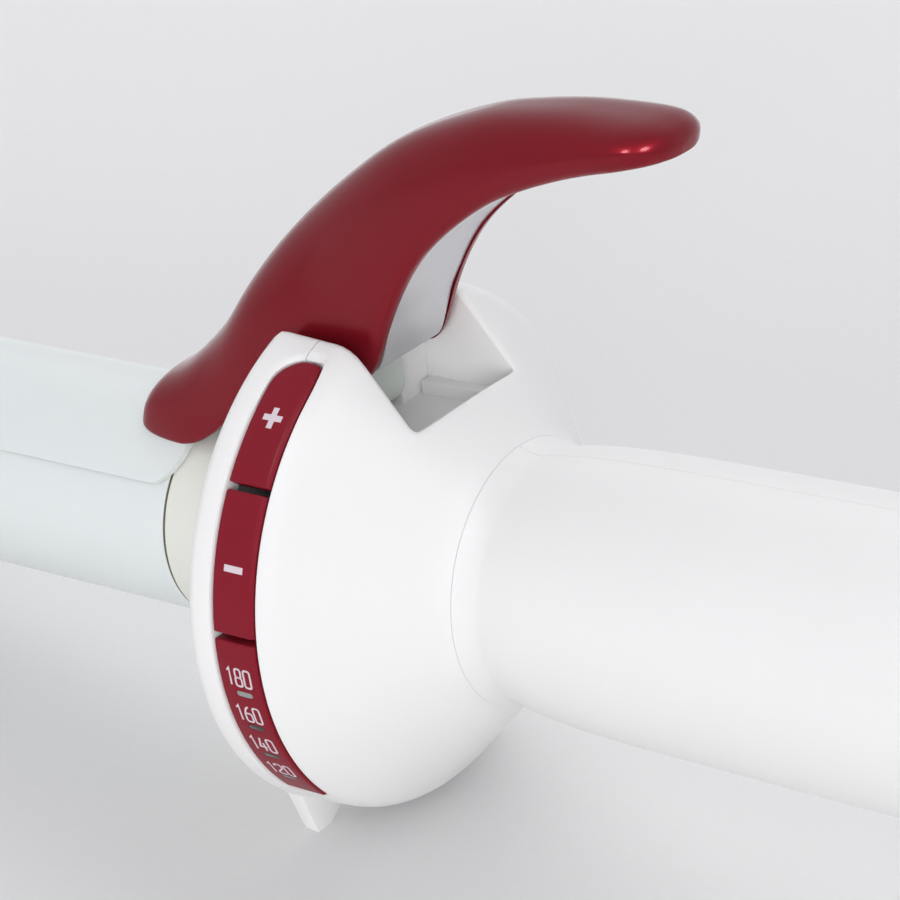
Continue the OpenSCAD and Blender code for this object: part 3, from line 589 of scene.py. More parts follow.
WHITE_SHELL = Finish("satin_white_shell", "white_shell", (0.87, 0.87, 0.865), 0.45, mottle=0.012,
                     grain=0.05)
BARREL_COAT = Finish("cool_white_coating", "barrel_coating", (0.77, 0.815, 0.81), 0.34, coat=0.25,
                     mottle=0.02, mottle_size=4, grain=0.12, grain_size=0.6)
CREAM = Finish("collar_cream", "cream_resin", (0.775, 0.785, 0.725), 0.5, grain=0.06)
SEAL = Finish("olive_seal", "cream_resin", (0.11, 0.10, 0.05), 0.7, mottle=0.2, mottle_size=2)
LEVER_RED = Finish("red_metallic_lacquer", "red_lacquer", (0.230, 0.0045, 0.0135), 0.38, metallic=0.65,
                   coat=1.0, coat_ior=1.3, mottle=0.06, grain=0.04, grain_size=0.14, flake=0.16,
                   sheen=0.04)
KEY_RED = Finish("raspberry_key", "red_lacquer", (0.226, 0.009, 0.021), 0.5, coat=0.3, coat_ior=1.2,
                 coat_roughness=0.25, mottle=0.05, grain=0.05, grain_size=0.14, flake=0.14, sheen=0.12)
MARK = Finish("pale_print", "white_shell", (0.72, 0.62, 0.68), 0.6, mottle=0.04, grain=0.03)
SILVER = Finish("matt_silver_foil", "silver_plate", (0.70, 0.70, 0.72), 0.36, metallic=0.85, mottle=0.06,
                mottle_size=5, grain=0.1, grain_size=0.2)
ARM = Finish("pale_arm_resin", "arm_resin", (0.70, 0.75, 0.70), 0.5, mottle=0.06, mottle_size=3,
             grain=0.1)
LENS_DARK = Finish("smoked_lens", "clear_window", (0.035, 0.018, 0.02), 0.25, coat=0.4, mottle=0.1)
LENS_LIGHT = Finish("grey_lens", "clear_window", (0.28, 0.28, 0.28), 0.3, coat=0.4, mottle=0.1)
STEEL = Finish("drawn_steel", "spring_steel", (0.56, 0.56, 0.58), 0.34, metallic=1.0, mottle=0.06,
               grain=0.08)
ALUMINIUM = Finish("grey_casting", "cast_aluminium", (0.64, 0.65, 0.66), 0.48, metallic=1.0, mottle=0.08,
                   grain=0.2)
CERAMIC = Finish("fired_ceramic", "white_ceramic", (0.82, 0.82, 0.78), 0.6, mottle=0.04, grain=0.08)
COPPER = Finish("bare_copper", "copper", (0.72, 0.36, 0.20), 0.36, metallic=1.0, mottle=0.08)
BRASS = Finish("stamped_brass", "brass", (0.76, 0.57, 0.25), 0.34, metallic=1.0, mottle=0.06)
BOARD = Finish("green_board", "board_green", (0.03, 0.17, 0.08), 0.42, coat=0.2, mottle=0.14,
               mottle_size=2)
BLACK = Finish("black_moulding", "black_resin", (0.022, 0.022, 0.025), 0.55, mottle=0.1, grain=0.12)
CLEAR = Finish("clear_glass", "clear_window", (0.9, 0.92, 0.93), 0.08, clear=0.85, mottle=0.02)
BLUE = Finish("blue_sleeve", "can_blue", (0.02, 0.03, 0.13), 0.35, coat=0.3, mottle=0.08)
YELLOW = Finish("yellow_tape", "tape_yellow", (0.72, 0.52, 0.10), 0.45, mottle=0.06, grain=0.1)

INNER_NODES = {
    ARM: ["lever_arm"],
    STEEL: ["pivot_pin", "torsion_spring", "clamp_rivets", "hub_screws", "handle_screws"],
    ALUMINIUM: ["heat_spreader_upper", "heat_spreader_lower"],
    CERAMIC: ["heater_plate", "indicator_lights"],
    COPPER: ["heater_leads", "contact_brushes"],
    BRASS: ["lead_terminals", "slip_rings"],
    BOARD: ["control_board", "main_board"],
    BLACK: ["thermistor", "key_switches", "power_triac", "brush_holder"],
    CLEAR: ["board_fuse"],
    BLUE: ["filter_capacitor"],
    YELLOW: ["board_transformer"],
}


def fit(piece: Piece, body: Body, finish: Finish, *nodes: str, smooth: float = 35) -> None:
    """Places a finished piece, dresses it and ties it to its body.

    Args:
        piece: a piece drawn in the iron's own frame.
        body: the body it rides on.
        finish: its finish.
        nodes: the CAD nodes that it stands for.
        smooth: edges sharper than this, in degrees, stay crisp.
    """
    Bench.place(piece)
    bpy.ops.object.shade_smooth_by_angle(angle=math.radians(smooth))
    piece.data.materials.clear()
    piece.data.materials.append(finish.material())
    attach(piece, body.value)
    if nodes:
        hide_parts(*nodes)
    log.info("%s rides on %s, %d faces", piece.name, body.value, len(piece.data.polygons))


@dataclass
class Barrel:
    """The heated barrel with its cool tip, collar and seal."""

    radius: float = 13.25
    bore: float = 11.45
    edge: float = 0.35
    edge_steps: int = 5
    hub_end: float = -27.65
    tip_start: float = -165.65
    tip_end: float = -183.65
    tip_gap: float = 0.15
    tip_radius: float = 12.6
    tip_bore: float = 8.9
    tip_edge: float = 0.3
    tip_round: float = 5.0
    tip_steps: int = 14
    groove: tuple[float, ...] = (2.6, 3.0, 3.6, 4.0)
    groove_depth: float = 0.35
    collar_bore: float = 8.5
    collar_edge: float = 0.12
    flange: Point = (2.25, 4.45)
    flange_rise: float = 3.2
    flat_from: float = 2.2
    flat_len: float = 4.0
    flat_half: float = 20.0
    flat_top: float = 22.0
    seal_width: float = 0.32
    seal_gap: float = 0.01
    seal_bore: float = 8.6
    seal_drop: float = 0.14

    def build(self) -> None:
        """Builds and dresses the barrel's pieces."""
        self.build_tube()
        self.build_tip()
        self.build_collar()
        self.build_seal()

    def build_tube(self) -> None:
        """Turns the heated tube with its rounded ends."""
        r, e = self.radius, self.edge
        outline = arc((self.tip_start + e, r - e), e, 180, 90, self.edge_steps)
        outline += arc((self.hub_end - e, r - e), e, 90, 0, self.edge_steps)
        outline += [(self.hub_end, self.bore), (self.tip_start, self.bore)]
        fit(Bench.turned("barrel", outline), Body.IRON, BARREL_COAT, "barrel_tube")

    def build_tip(self) -> None:
        """Turns the cool tip with its rounded end and finger groove."""
        base = self.tip_start - self.tip_gap
        r, t = self.tip_radius, self.tip_round
        low = r - self.groove_depth
        outline = [(base, self.tip_bore), (base, r - self.tip_edge), (base - self.tip_edge, r)]
        outline += [(base - at, height) for at, height in zip(self.groove, (r, low, low, r))]
        outline += arc((self.tip_end + t, r - t), t, 90, 180, self.tip_steps)
        outline += [(self.tip_end, 0.0), (self.tip_end + t, 0.0), (self.tip_end + t, self.tip_bore)]
        fit(Bench.turned("cool_tip", outline), Body.IRON, WHITE_SHELL, "tip_cap")

    def build_collar(self) -> None:
        """Turns the cream collar, with a flange that is cut flat under the lever."""
        r, bore, edge = self.radius, self.collar_bore, self.collar_edge
        start = self.hub_end + self.seal_width
        front, back = (HUB_FACE + at for at in self.flange)
        top = r + self.flange_rise
        collar = Bench.turned("collar", [(start, bore), (start, r - edge), (start + edge, r), (front, r),
                                         (front, top), (back, top), (back, bore)])
        Bench.cut(collar, Bench.bar("collar_flat", HUB_FACE + self.flat_from, self.flat_len,
                                    (-self.flat_half, self.flat_half), (r, self.flat_top)))
        fit(collar, Body.IRON, CREAM, "barrel_collar")

    def build_seal(self) -> None:
        """Turns the dark seal where the collar meets the barrel."""
        start = self.hub_end + self.seal_gap
        end = self.hub_end + self.seal_width - self.seal_gap
        low, high = self.seal_bore, self.radius - self.seal_drop
        seal = Bench.turned("collar_seal", [(start, low), (start, high), (end, high), (end, low)])
        fit(seal, Body.IRON, SEAL)


@dataclass
class Hub:
    """The round hub of two shells, with the lever's slot, the key strip's window and the feet."""

    face: float = HUB_FACE
    seam: float = HUB_SEAM
    gap: float = 0.15
    radius: float = 31.0
    rear_radius: float = BELL_RADIUS
    wall: float = BELL_WALL
    rim: float = 1.6
    rim_steps: int = 8
    shoulder: float = 4.7
    shoulder_x: float = -1.2
    flank_angle: float = 48.5
    bell_steps: int = 9
    steps: int = 192
    smooth: float = 32
    bore: float = 13.3
    spigot: float = 12.5
    spigot_bore: float = 10.8
    spigot_end: float = 24.0
    web: float = 12.6
    slot_half: float = 9.6
    slot_back: float = 8.3
    slot_bow: float = 1.1
    slot_lead: float = 3.0
    slot_steps: int = 24
    slot_corner: float = 0.85
    corner_steps: int = 6
    corner_shift: float = 0.12
    bow_share: float = 0.88
    slot_lip: float = 0.95
    lip_angles: tuple[float, ...] = (0, 15, 30, 45, 60, 75)
    lip_least: float = 0.5
    lip_out: float = 0.8
    lip_rise: float = 0.2
    slot_over: float = 6.0
    floor: float = 15.35
    floor_under: float = 13.55
    pocket_wall: float = 1.8
    pocket_inset: float = 0.5
    pocket_end: float = 0.2
    pocket_top: float = 32.0
    pocket_steps: int = 96
    lug_x: float = -4.0
    lug_inset: float = 1.0
    lug_y: float = 4.5
    lug_top: float = 21.8
    lug_sink: float = 0.4
    lug_edge: float = 0.2
    pin_bore: float = 1.8
    pin_lead: float = 1.0
    pin_depth: float = 4.5
    window_under: float = 1.2
    window_over: float = 2.0
    slope_from: float = 1.0
    slope_to: float = 2.0
    split_far: float = 90.0
    split_half: float = 60.0
    lap_gap: float = 0.02
    lap_over: float = 0.4
    lap_margin: float = 1.0
    lap_top: float = 28.2
    screw_angles: Triple = (-65.0, -130.0, 152.0)
    screw_ring: float = 22.0
    screw_head: float = 2.45
    screw_lead: float = 1.0
    screw_depth: float = 2.9
    pad_width: float = 1.75
    pad_side: float = 0.2
    pad_sink: float = 0.3
    pad_high: float = 1.6
    pad_more: float = 4.6
    pad_edge: float = 0.25
    foot_drop: float = 31.25
    foot_outer: float = 15.8
    foot_flat: float = 2.6
    foot_depth: float = 1.9
    foot_slope: float = 28.0
    foot_rake: float = 20.0
    foot_root: float = 1.0
    foot_least: float = 2.0
    foot_spare: float = 1.0
    foot_inset: float = 0.2
    foot_upper: float = 2.0
    foot_edge: float = 0.6

    def __post_init__(self) -> None:
        """Works out the bell's hollow."""
        a = math.radians(self.flank_angle)
        self.end = NECK_SEAM - NECK_GAP / 2
        self.inner = self.rear_radius - self.wall
        self.shoulder_c = (self.shoulder_x, self.rear_radius - self.shoulder)
        self.flank_start = self.shoulder_c[0] + self.shoulder * math.sin(a)
        flank_radius = self.shoulder_c[1] + self.shoulder * math.cos(a)
        self.hollow = ((flank_radius - NECK_RADIUS - math.tan(a) * (NECK_X - self.flank_start))
                       / (1 - math.cos(a) - math.tan(a) * math.sin(a)))
        self.hollow_c = (NECK_X, NECK_RADIUS + self.hollow)
        self.flank_end = self.hollow_c[0] - self.hollow * math.sin(a)

    def bell(self, inset: float, until: float) -> list[Point]:
        """Gives the bell's outline from its shoulder to a place on its neck.

        Args:
            inset: how far the outline is drawn in.
            until: the place along the barrel where it ends.

        Returns:
            Points of (place along the barrel, radius) in mm.
        """
        tail = math.degrees(math.asin((NECK_X - until) / (self.hollow + inset)))
        angle, count = self.flank_angle, self.bell_steps
        return (arc(self.shoulder_c, self.shoulder - inset, 90, 90 - angle, count)
                + arc(self.hollow_c, self.hollow + inset, 270 - angle, 270 - tail, count))

    def rim_arc(self, inset: float = 0.0) -> list[Point]:
        """Gives the rim's rounding, drawn in by inset."""
        centre = (self.face + self.rim, self.radius - self.rim)
        return arc(centre, self.rim - inset, 180, 90, self.rim_steps)

    def outside(self, x: float) -> float:
        """Gives the hub's outside radius.

        Args:
            x: the place along the barrel in mm.

        Returns:
            The radius in mm.
        """
        rim_x = self.face + self.rim
        if x < rim_x:
            rise = self.rim ** 2 - min(self.rim, rim_x - x) ** 2
            return self.radius - self.rim + math.sqrt(max(0.0, rise))
        if x < self.shoulder_x:
            share = (x - rim_x) / (self.shoulder_x - rim_x)
            return self.radius + (self.rear_radius - self.radius) * share
        if x < self.flank_end:
            on_shoulder = min(x, self.flank_start) - self.shoulder_c[0]
            drop = math.tan(math.radians(self.flank_angle)) * max(0.0, x - self.flank_start)
            return self.shoulder_c[1] + math.sqrt(self.shoulder ** 2 - on_shoulder ** 2) - drop
        return self.hollow_c[1] - math.sqrt(self.hollow ** 2 - (self.hollow_c[0] - x) ** 2)

    def slot_outline(self) -> list[tuple[Vector, Vector]]:
        """Gives the slot's outline from above.

        Returns:
            Its points in mm, each with the direction that leads away from the slot.
        """
        bow = (self.slot_half ** 2 + self.slot_bow ** 2) / (2 * self.slot_bow)
        lean = math.degrees(math.asin(self.slot_half / bow))
        c, half, back = self.slot_corner, self.slot_half, self.slot_back
        start = self.face - self.slot_lead
        side = [(Vector((start + (back - c - start) * i / self.slot_steps, -half)), Vector((0, -1)))
                for i in range(self.slot_steps + 1)]
        for i in range(1, self.corner_steps + 1):
            a = math.radians(-90 + (90 - lean) * i / self.corner_steps)
            out = Vector((math.cos(a), math.sin(a)))
            side.append((Vector((back - c + self.corner_shift, c - half)) + c * out, out))
        bowed = []
        for i in range(1, self.slot_steps):
            a = math.radians(lean * (-1 + 2 * i / self.slot_steps) * self.bow_share)
            out = Vector((math.cos(a), math.sin(a)))
            bowed.append((Vector((back + self.slot_bow - bow, 0)) + bow * out, out))
        mirrored = [(Vector((p.x, -p.y)), Vector((n.x, -n.y))) for p, n in reversed(side)]
        return side + bowed + mirrored

    def slot_tool(self) -> Piece:
        """Builds the tool that cuts the slot with a rounded lip where it meets the bell.

        Returns:
            The tool.
        """
        lip, outline = self.slot_lip, self.slot_outline()

        def lip_row(out: float, rise: float) -> list[Vector]:
            """Gives points out from the slot that lie a rise above the bell, all above the floor."""
            moved = [p + n * out for p, n in outline]
            heights = [math.sqrt(self.outside(p.x) ** 2 - p.y ** 2) + rise for p in moved]
            least = self.floor + self.lip_least
            return [Vector((p.x, p.y, max(least, height))) for p, height in zip(moved, heights)]

        rows = [[Vector((p.x, p.y, self.floor)) for p, _ in outline]]
        for a in map(math.radians, self.lip_angles):
            rows.append(lip_row(lip * (1 - math.cos(a)), -lip * (1 - math.sin(a))))
        last = math.radians(self.lip_angles[-1])
        rows.append(lip_row(lip * (1 - math.cos(last)) + self.lip_out, self.lip_rise))
        rows.append([Vector((p.x, p.y, self.radius + self.slot_over)) for p in rows[-1]])
        return Bench.lofted("slot_tool", [[p * MM for p in row] for row in rows])

    def strip_tools(self, strip: "KeyStrip") -> list[Piece]:
        """Builds the tools that cut the key strip's window and the soft slope round it.

        Args:
            strip: the key strip.

        Returns:
            Both tools.
        """
        low, high = self.inner - self.window_under, self.radius + self.window_over
        first, last = self.face + self.slope_from, self.slope_to
        window, slope = [], []
        for d in strip.stations():
            angle = strip.plus_from + strip.degrees(d)
            front, rear = strip.sides(d, 0.0)
            if d >= 0:
                corners = [(front, low), (front, high), (rear, high), (rear, low)]
                window.append([round_hub(x, angle, r) for x, r in corners])
            slope.append([round_hub(x, angle, self.outside(min(max(x, first), last)) + z)
                          for x, z in strip.slope_row(d)])
        return [Bench.lofted("window_tool", window), Bench.lofted("slope_tool", slope)]

    def lug(self) -> Piece:
        """Builds the lug beside the lever's arm that carries the far end of the pivot.

        Returns:
            The lug, with the pin's bore.
        """
        sides = (self.lug_y, self.slot_half + self.lug_sink)
        heights = (self.floor - self.lug_sink, self.lug_top)
        length = self.lug_x - self.face - self.lug_inset
        block = Bench.bar("pivot_lug", self.face + self.lug_inset, length, sides, heights)
        Bench.soften(block, self.lug_edge, 2)
        edge = [mm(x, self.lug_y - self.pin_lead, z)
                for x, z in hole((PIVOT[0], PIVOT[2]), self.pin_bore)]
        Bench.cut(block, Bench.extruded("pin_bore", edge, mm(0, self.pin_depth, 0)))
        return block

    def pocket(self) -> Piece:
        """Builds the walls round the lever's slot, still filled.

        Returns:
            The block, which stays inside the hub's outline.
        """
        inset, end = self.pocket_inset, self.end - self.pocket_end
        outline = [(self.face + inset, 0.0), *self.rim_arc(inset), *self.bell(inset, end), (end, 0.0)]
        core = Bench.turned("pocket_walls", outline, self.pocket_steps)
        side = self.slot_half + self.pocket_wall
        back = self.slot_back + self.slot_bow + self.pocket_wall
        block = Bench.bar("pocket_block", self.face, back - self.face, (-side, side),
                          (self.floor_under, self.pocket_top))
        Bench.cut(core, block, Cut.COMMON)
        return core

    def split(self, piece: Piece, way: int) -> None:
        """Cuts one half of the hub away at the seam, which steps round the lever's slot.

        Args:
            piece: the whole hub.
            way: 1 to lose the rear, -1 to lose the front.
        """
        def block(name: str, ends: Point, half: float, heights: Point) -> Piece:
            """Builds a bar between two places along the barrel, given in either order."""
            return Bench.bar(name, min(ends), max(ends) - min(ends), (-half, half), heights)

        far = (self.seam - way * self.gap / 2, self.seam + way * self.split_far)
        tool = block("slice_block", far, self.split_half, (-self.split_half, self.split_half))
        near = (self.lug_x - way * self.lap_gap, self.seam + way * self.gap + self.lap_over)
        lap = block("lap_block", near, self.slot_half + self.lap_margin,
                    (self.floor - self.lap_margin, self.lap_top))
        Bench.cut(tool, lap, Cut.AWAY if way < 0 else Cut.ONTO)
        Bench.cut(piece, tool)

    def build(self, strip: "KeyStrip") -> None:
        """Builds and dresses both shells, the pad and the feet.

        Args:
            strip: the key strip, which gives the window's outline.
        """
        back = self.face + self.wall
        rear = Bench.turned("hub_rear", [
            (self.face, self.bore), *self.rim_arc(), *self.bell(0, self.end), (self.end, self.spigot),
            (self.spigot_end, self.spigot), (self.spigot_end, self.spigot_bore),
            (self.web, self.spigot_bore), *reversed(self.bell(self.wall, self.web)),
            (back, self.inner), (back, self.bore)], self.steps)
        Bench.cut(rear, self.pocket(), Cut.ONTO)
        Bench.cut(rear, self.slot_tool())
        Bench.cut(rear, self.lug(), Cut.ONTO)
        for tool in self.strip_tools(strip):
            Bench.cut(rear, tool)
        front = Bench.copy(rear, "hub_front")
        self.split(rear, -1)
        self.split(front, 1)
        for angle in self.screw_angles:
            middle = round_hub(0, angle, self.screw_ring)
            edge = [middle + mm(self.face - self.screw_lead, y, z)
                    for y, z in hole((0, 0), self.screw_head)]
            Bench.cut(front, Bench.extruded("screw_recess", edge, mm(self.screw_depth, 0, 0)))
        fit(rear, Body.IRON, WHITE_SHELL, "hub_rear_shell", smooth=self.smooth)
        fit(front, Body.IRON, WHITE_SHELL, "hub_front_shell", smooth=self.smooth)
        self.build_pad()
        self.build_feet()

    def build_pad(self) -> None:
        """Builds the raised pad along the far wall of the pocket."""
        sides = (self.slot_half - self.pad_width, self.slot_half + self.pad_side)
        heights = (self.floor - self.pad_sink, self.floor + self.pad_high)
        length = self.slot_back + self.pad_more
        pad = Bench.bar("pocket_pad", self.lug_x + self.gap, length, sides, heights)
        Bench.soften(pad, self.pad_edge)
        fit(pad, Body.IRON, WHITE_SHELL)

    def build_feet(self) -> None:
        """Builds the two stand feet, cut flat where they meet the table."""
        drop, outer, inner = self.foot_drop, self.foot_outer, self.foot_outer - self.foot_flat
        root = -self.inner * math.cos(math.asin(outer / self.inner)) - self.foot_root
        root_inner = inner - (drop + root) / math.tan(math.radians(self.foot_slope))
        root_outer = outer + (drop + root) * math.tan(math.radians(self.foot_rake))
        end = -drop - self.foot_spare
        outline = [(max(self.foot_least, root_inner), root), (root_outer, root), (outer, -drop),
                   (outer, end), (inner, end), (inner, -drop)]
        table = IRON.inverted() @ Vector((0, 0, 0))
        down = IRON.inverted().to_3x3() @ Vector((0, 0, -1))
        for side, name in ((-1, "foot_near"), (1, "foot_far")):
            places = [mm(self.face + self.foot_inset, side * y, z) for y, z in outline]
            foot = Bench.extruded(name, places, mm(self.foot_depth, 0, 0))
            for vertex in foot.data.vertices:
                in_front = vertex.co.x < (self.face + self.foot_inset + self.foot_depth / 2) * MM
                if in_front and vertex.co.z > (self.foot_upper - drop) * MM:
                    vertex.co.x -= self.foot_inset * MM
            Bench.slice(foot, table, down)
            Bench.soften(foot, self.foot_edge)
            fit(foot, Body.IRON, WHITE_SHELL)


@dataclass
class KeyStrip:
    """The two temperature keys, the scale panel, and their marks."""

    width: float = 5.75
    radius: float = BELL_RADIUS
    inner: float = BELL_RADIUS - BELL_WALL
    plus_from: float = 24.8
    minus_from: float = 55.1
    panel_from: float = 86.4
    panel_to: float = 134.4
    panel_gap: float = 0.1
    end_gap: float = 0.4
    side_gap: float = 0.15
    round_front: float = 3.6
    round_rear: float = 0.5
    lean: float = 0.55
    lean_len: float = 5.0
    smooth: float = 30
    key_round: float = 0.3
    key_chamfer: float = 0.55
    panel_round: float = 0.1
    panel_chamfer: float = 0.2
    chamfer_start: Point = (0.08, 0.02)
    chamfer_fall: float = 0.42
    chamfer_end: Point = (0.06, 0.08)
    cap_edge: float = 0.2
    cap_angles: tuple[float, ...] = (0.4, 0.8, 1.2, math.pi / 2)
    cap_steps: tuple[float, ...] = (0.0, 0.03, 0.08, 0.14, 0.2, 0.35, 0.6, 0.9, 1.3, 1.8, 2.4, 3.0, 3.6)
    cap_end_steps: int = 5
    cap_margin: float = 0.3
    cap_pitch: float = 0.6
    lip: float = 0.3
    dish: float = 1.1
    dish_len: float = 9.0
    dish_fade: float = 1.5
    dish_depth: float = 0.3
    dish_shares: tuple[float, ...] = (-0.97, -0.8, -0.5, -0.2)
    end_stations: tuple[float, ...] = (0.0, 0.03, 0.1, 0.2, 0.35, 0.6, 0.9, 1.3, 1.8, 2.4)
    even_from: float = 3.0
    even_steps: int = 70
    slope_shares: tuple[float, ...] = (0.0, 0.3, 0.55, 0.8, 1.0)
    slope_proud: float = 0.015
    slope_clear: float = 2.0
    lens_from: float = 99.3
    lens_step: float = 9.05
    lens_count: int = 4
    lens_shift: float = 0.25
    lens_size: Point = (2.2, 0.7)
    lens_edge: float = 0.06
    lens_steps: int = 8
    lens_depth: float = 3.4
    lens_proud: float = 0.01
    hole_size: Point = (2.3, 0.8)
    hole_depth: float = 2.0
    hole_over: float = 1.0
    plus_at: float = 39.8
    minus_at: float = 71.6
    bar_half: float = 1.25
    plus_thick: float = 0.72
    minus_thick: float = 0.75
    scale: tuple[tuple[str, float], ...] = (("180", 95.2), ("160", 104.6), ("140", 113.6), ("120", 122.9))
    figure_pitch: float = 1.24
    figure_size: Point = (0.88, 2.2)
    figure_shift: float = 0.1
    figure_thick: float = 0.235
    mitre_least: float = 0.5
    print_lift: float = 0.025
    print_thick: float = 0.03

    def degrees(self, length: float) -> float:
        """Gives the angle that a length in mm takes round the strip."""
        return math.degrees(length / self.radius)

    def stations(self) -> list[float]:
        """Gives the distances from the strip's upper end at which its window is drawn.

        Returns:
            The distances in mm, from above the window's upper end to its lower end.
        """
        left = math.radians(self.panel_to - self.plus_from) * self.radius - self.even_from
        even = [self.even_from + left * i / self.even_steps for i in range(self.even_steps + 1)]
        return [*(share * self.dish for share in self.dish_shares), *self.end_stations, *even]

    def sides(self, distance: float, out: float) -> Point:
        """Gives both sides of the strip's window.

        Args:
            distance: mm from the window's upper end.
            out: how far outside the window's outline the sides lie.

        Returns:
            The front and the rear side's place along the barrel.
        """
        places = []
        for radius in (self.round_front, self.round_rear):
            reach = radius + out
            left = min(max(0.0, radius - distance), reach)
            places.append(radius - math.sqrt(reach ** 2 - left ** 2))
        return places[0] - self.width, -places[1] - self.rear_lean(distance)

    def rear_lean(self, distance: float) -> float:
        """Gives how far the rear side leans forward near the strip's upper end, in mm."""
        return self.lean * max(0.0, 1 - max(0.0, distance) / self.lean_len) ** 2

    def slope_row(self, distance: float) -> list[Point]:
        """Gives the soft slope's section across the window.

        Args:
            distance: mm from the window's upper end.

        Returns:
            Points of (place along the barrel, height above the hub) in mm.
        """
        spread = self.dish - self.lip
        share = max(0.0, min(1.0, 1 - distance / self.dish_len))
        depth = self.dish_depth * min(1.0, 1 + distance / self.dish)
        inner = self.sides(distance, 0.0)
        outer = (self.sides(distance, self.lip + spread * share ** self.dish_fade)[0],
                 self.sides(distance, self.lip + spread * (distance < 0))[1])
        front, rear = ([(wide + (edge - wide) * s, self.slope_proud - depth * s * s)
                        for s in self.slope_shares] for wide, edge in zip(outer, inner))
        return [(outer[0], self.slope_clear), *front, *reversed(rear), (outer[1], self.slope_clear)]

    def cap(self, name: str, start: float, end: float, rounds: Point, chamfer: float,
            leans: bool = False) -> Piece:
        """Builds a curved cap in the strip.

        Args:
            name: the piece's name.
            start: its upper angle.
            end: its lower angle.
            rounds: rounding of its upper front and upper rear corner in mm.
            chamfer: width of the slope along its rear edge in mm.
            leans: whether it follows the lean of the strip's upper end.

        Returns:
            The cap, closed.
        """
        edge, gap, steps = self.cap_edge, self.side_gap, self.cap_steps
        soft_x, soft_z = (chamfer * share for share in self.chamfer_start)
        end_x, end_z = self.chamfer_end
        length = math.radians(end - start) * self.radius
        count = int(length / self.cap_pitch)
        left = length - steps[-1] - self.cap_margin
        along = sorted({*steps, *(steps[-1] + left * i / count for i in range(count + 1)),
                        *(length - s for s in steps[:self.cap_end_steps])})
        rows = []
        for d in along:
            low = -self.width + gap + drawn_in(rounds[0], d)
            high = -gap - drawn_in(rounds[1], d) - (self.rear_lean(d) if leans else 0.0)
            top = self.radius - drawn_in(edge, min(d, length - d))
            flat, fallen = high - chamfer, top - chamfer * self.chamfer_fall
            section = [(low, self.inner), (low, top - edge)]
            section += [(low + edge * (1 - math.cos(a)), top - edge * (1 - math.sin(a)))
                        for a in self.cap_angles]
            section += [(low + edge + (flat - low - edge) * i / 4, top) for i in (1, 2, 3)]
            section += [(flat, top), (flat + soft_x, top - soft_z), (high - end_x, fallen),
                        (high, fallen - end_z), (high, self.inner)]
            rows.append([round_hub(x, start + self.degrees(d), r) for x, r in section])
        return Bench.lofted(name, rows)

    def build(self) -> None:
        """Builds and dresses the keys, the panel, the lenses and the marks."""
        gap = self.degrees(self.end_gap)
        plus = self.cap("plus_key_cap", self.plus_from + gap, self.minus_from - gap,
                        (self.round_front, self.round_rear), self.key_chamfer, leans=True)
        fit(plus, Body.PLUS, KEY_RED, "plus_key", smooth=self.smooth)
        minus = self.cap("minus_key_cap", self.minus_from + gap, self.panel_from - gap,
                         (self.key_round, self.key_round), self.key_chamfer)
        fit(minus, Body.MINUS, KEY_RED, "minus_key", smooth=self.smooth)
        panel = self.cap("scale_plate", self.panel_from + gap, self.panel_to - self.panel_gap,
                         (self.panel_round, self.panel_round), self.panel_chamfer)
        angles = [self.lens_from + i * self.lens_step for i in range(self.lens_count)]
        for angle in angles:
            Bench.cut(panel, self.capsule("lens_hole", angle, self.hole_size,
                                          self.inner - self.hole_depth, self.radius + self.hole_over))
        fit(panel, Body.IRON, KEY_RED, "scale_panel", smooth=self.smooth)
        lenses = [self.capsule(f"lens_{i}", angle, self.lens_size, self.inner - self.lens_depth,
                               self.radius + self.lens_proud) for i, angle in enumerate(angles)]
        for lens in lenses:
            Bench.soften(lens, self.lens_edge, 2)
        fit(lenses[0], Body.IRON, LENS_LIGHT, "light_guides")
        fit(Bench.join("scale_lenses_low", lenses[1:]), Body.IRON, LENS_DARK)
        self.build_marks()

    def capsule(self, name: str, angle: float, size: Point, low: float, high: float) -> Piece:
        """Builds a round-ended bar that stands out from the axis.

        Args:
            name: the piece's name.
            angle: where it stands round the hub.
            size: its length along the barrel and its height round the hub, in mm.
            low: its inner radius.
            high: its outer radius.

        Returns:
            The bar.
        """
        length, height = size
        r, half = height / 2, (length - height) / 2
        flat = arc((half, 0), r, -90, 90, self.lens_steps) + arc((-half, 0), r, 90, 270, self.lens_steps)
        turn = Matrix.Rotation(math.radians(angle), 4, "X")
        middle = -self.width / 2 + self.lens_shift
        places = [turn @ mm(middle + x, y, low) for x, y in flat]
        return Bench.extruded(name, places, turn @ mm(0, 0, high - low))

    def stroke(self, name: str, line: Outline, angle: float, thick: float) -> Piece:
        """Draws a printed line on the strip.

        Args:
            name: the piece's name.
            line: points of (along the barrel, up towards the lever) in mm from the strip's middle.
            angle: where the middle lies round the hub.
            thick: the line's thickness in mm.

        Returns:
            The printed line as a thin sheet.
        """
        closed = line[0] == line[-1]
        points = [Vector(p) for p in (line[:-1] if closed else line)]
        count = len(points)
        low, high = [], []
        for i, point in enumerate(points):
            before = points[(i - 1) % count] if closed or i else point
            after = points[(i + 1) % count] if closed or i < count - 1 else point
            a = ((point - before) if (point - before).length else (after - point)).normalized()
            b = (after - point).normalized() if (after - point).length else a
            side = Vector((-(a + b).y, (a + b).x)).normalized()
            reach = thick / 2 / max(self.mitre_least, side.dot(Vector((-a.y, a.x))))
            low.append(point - side * reach)
            high.append(point + side * reach)
        if closed:
            low.append(low[0])
            high.append(high[0])
        rows = [[round_hub(-self.width / 2 + p.x, angle - self.degrees(p.y), self.radius + self.print_lift)
                 for p in row] for row in (low, high)]
        piece = Bench.sheet(name, rows)
        Bench.edit(piece)
        bpy.ops.mesh.remove_doubles(threshold=MERGE)
        bpy.ops.object.mode_set(mode="OBJECT")
        return piece

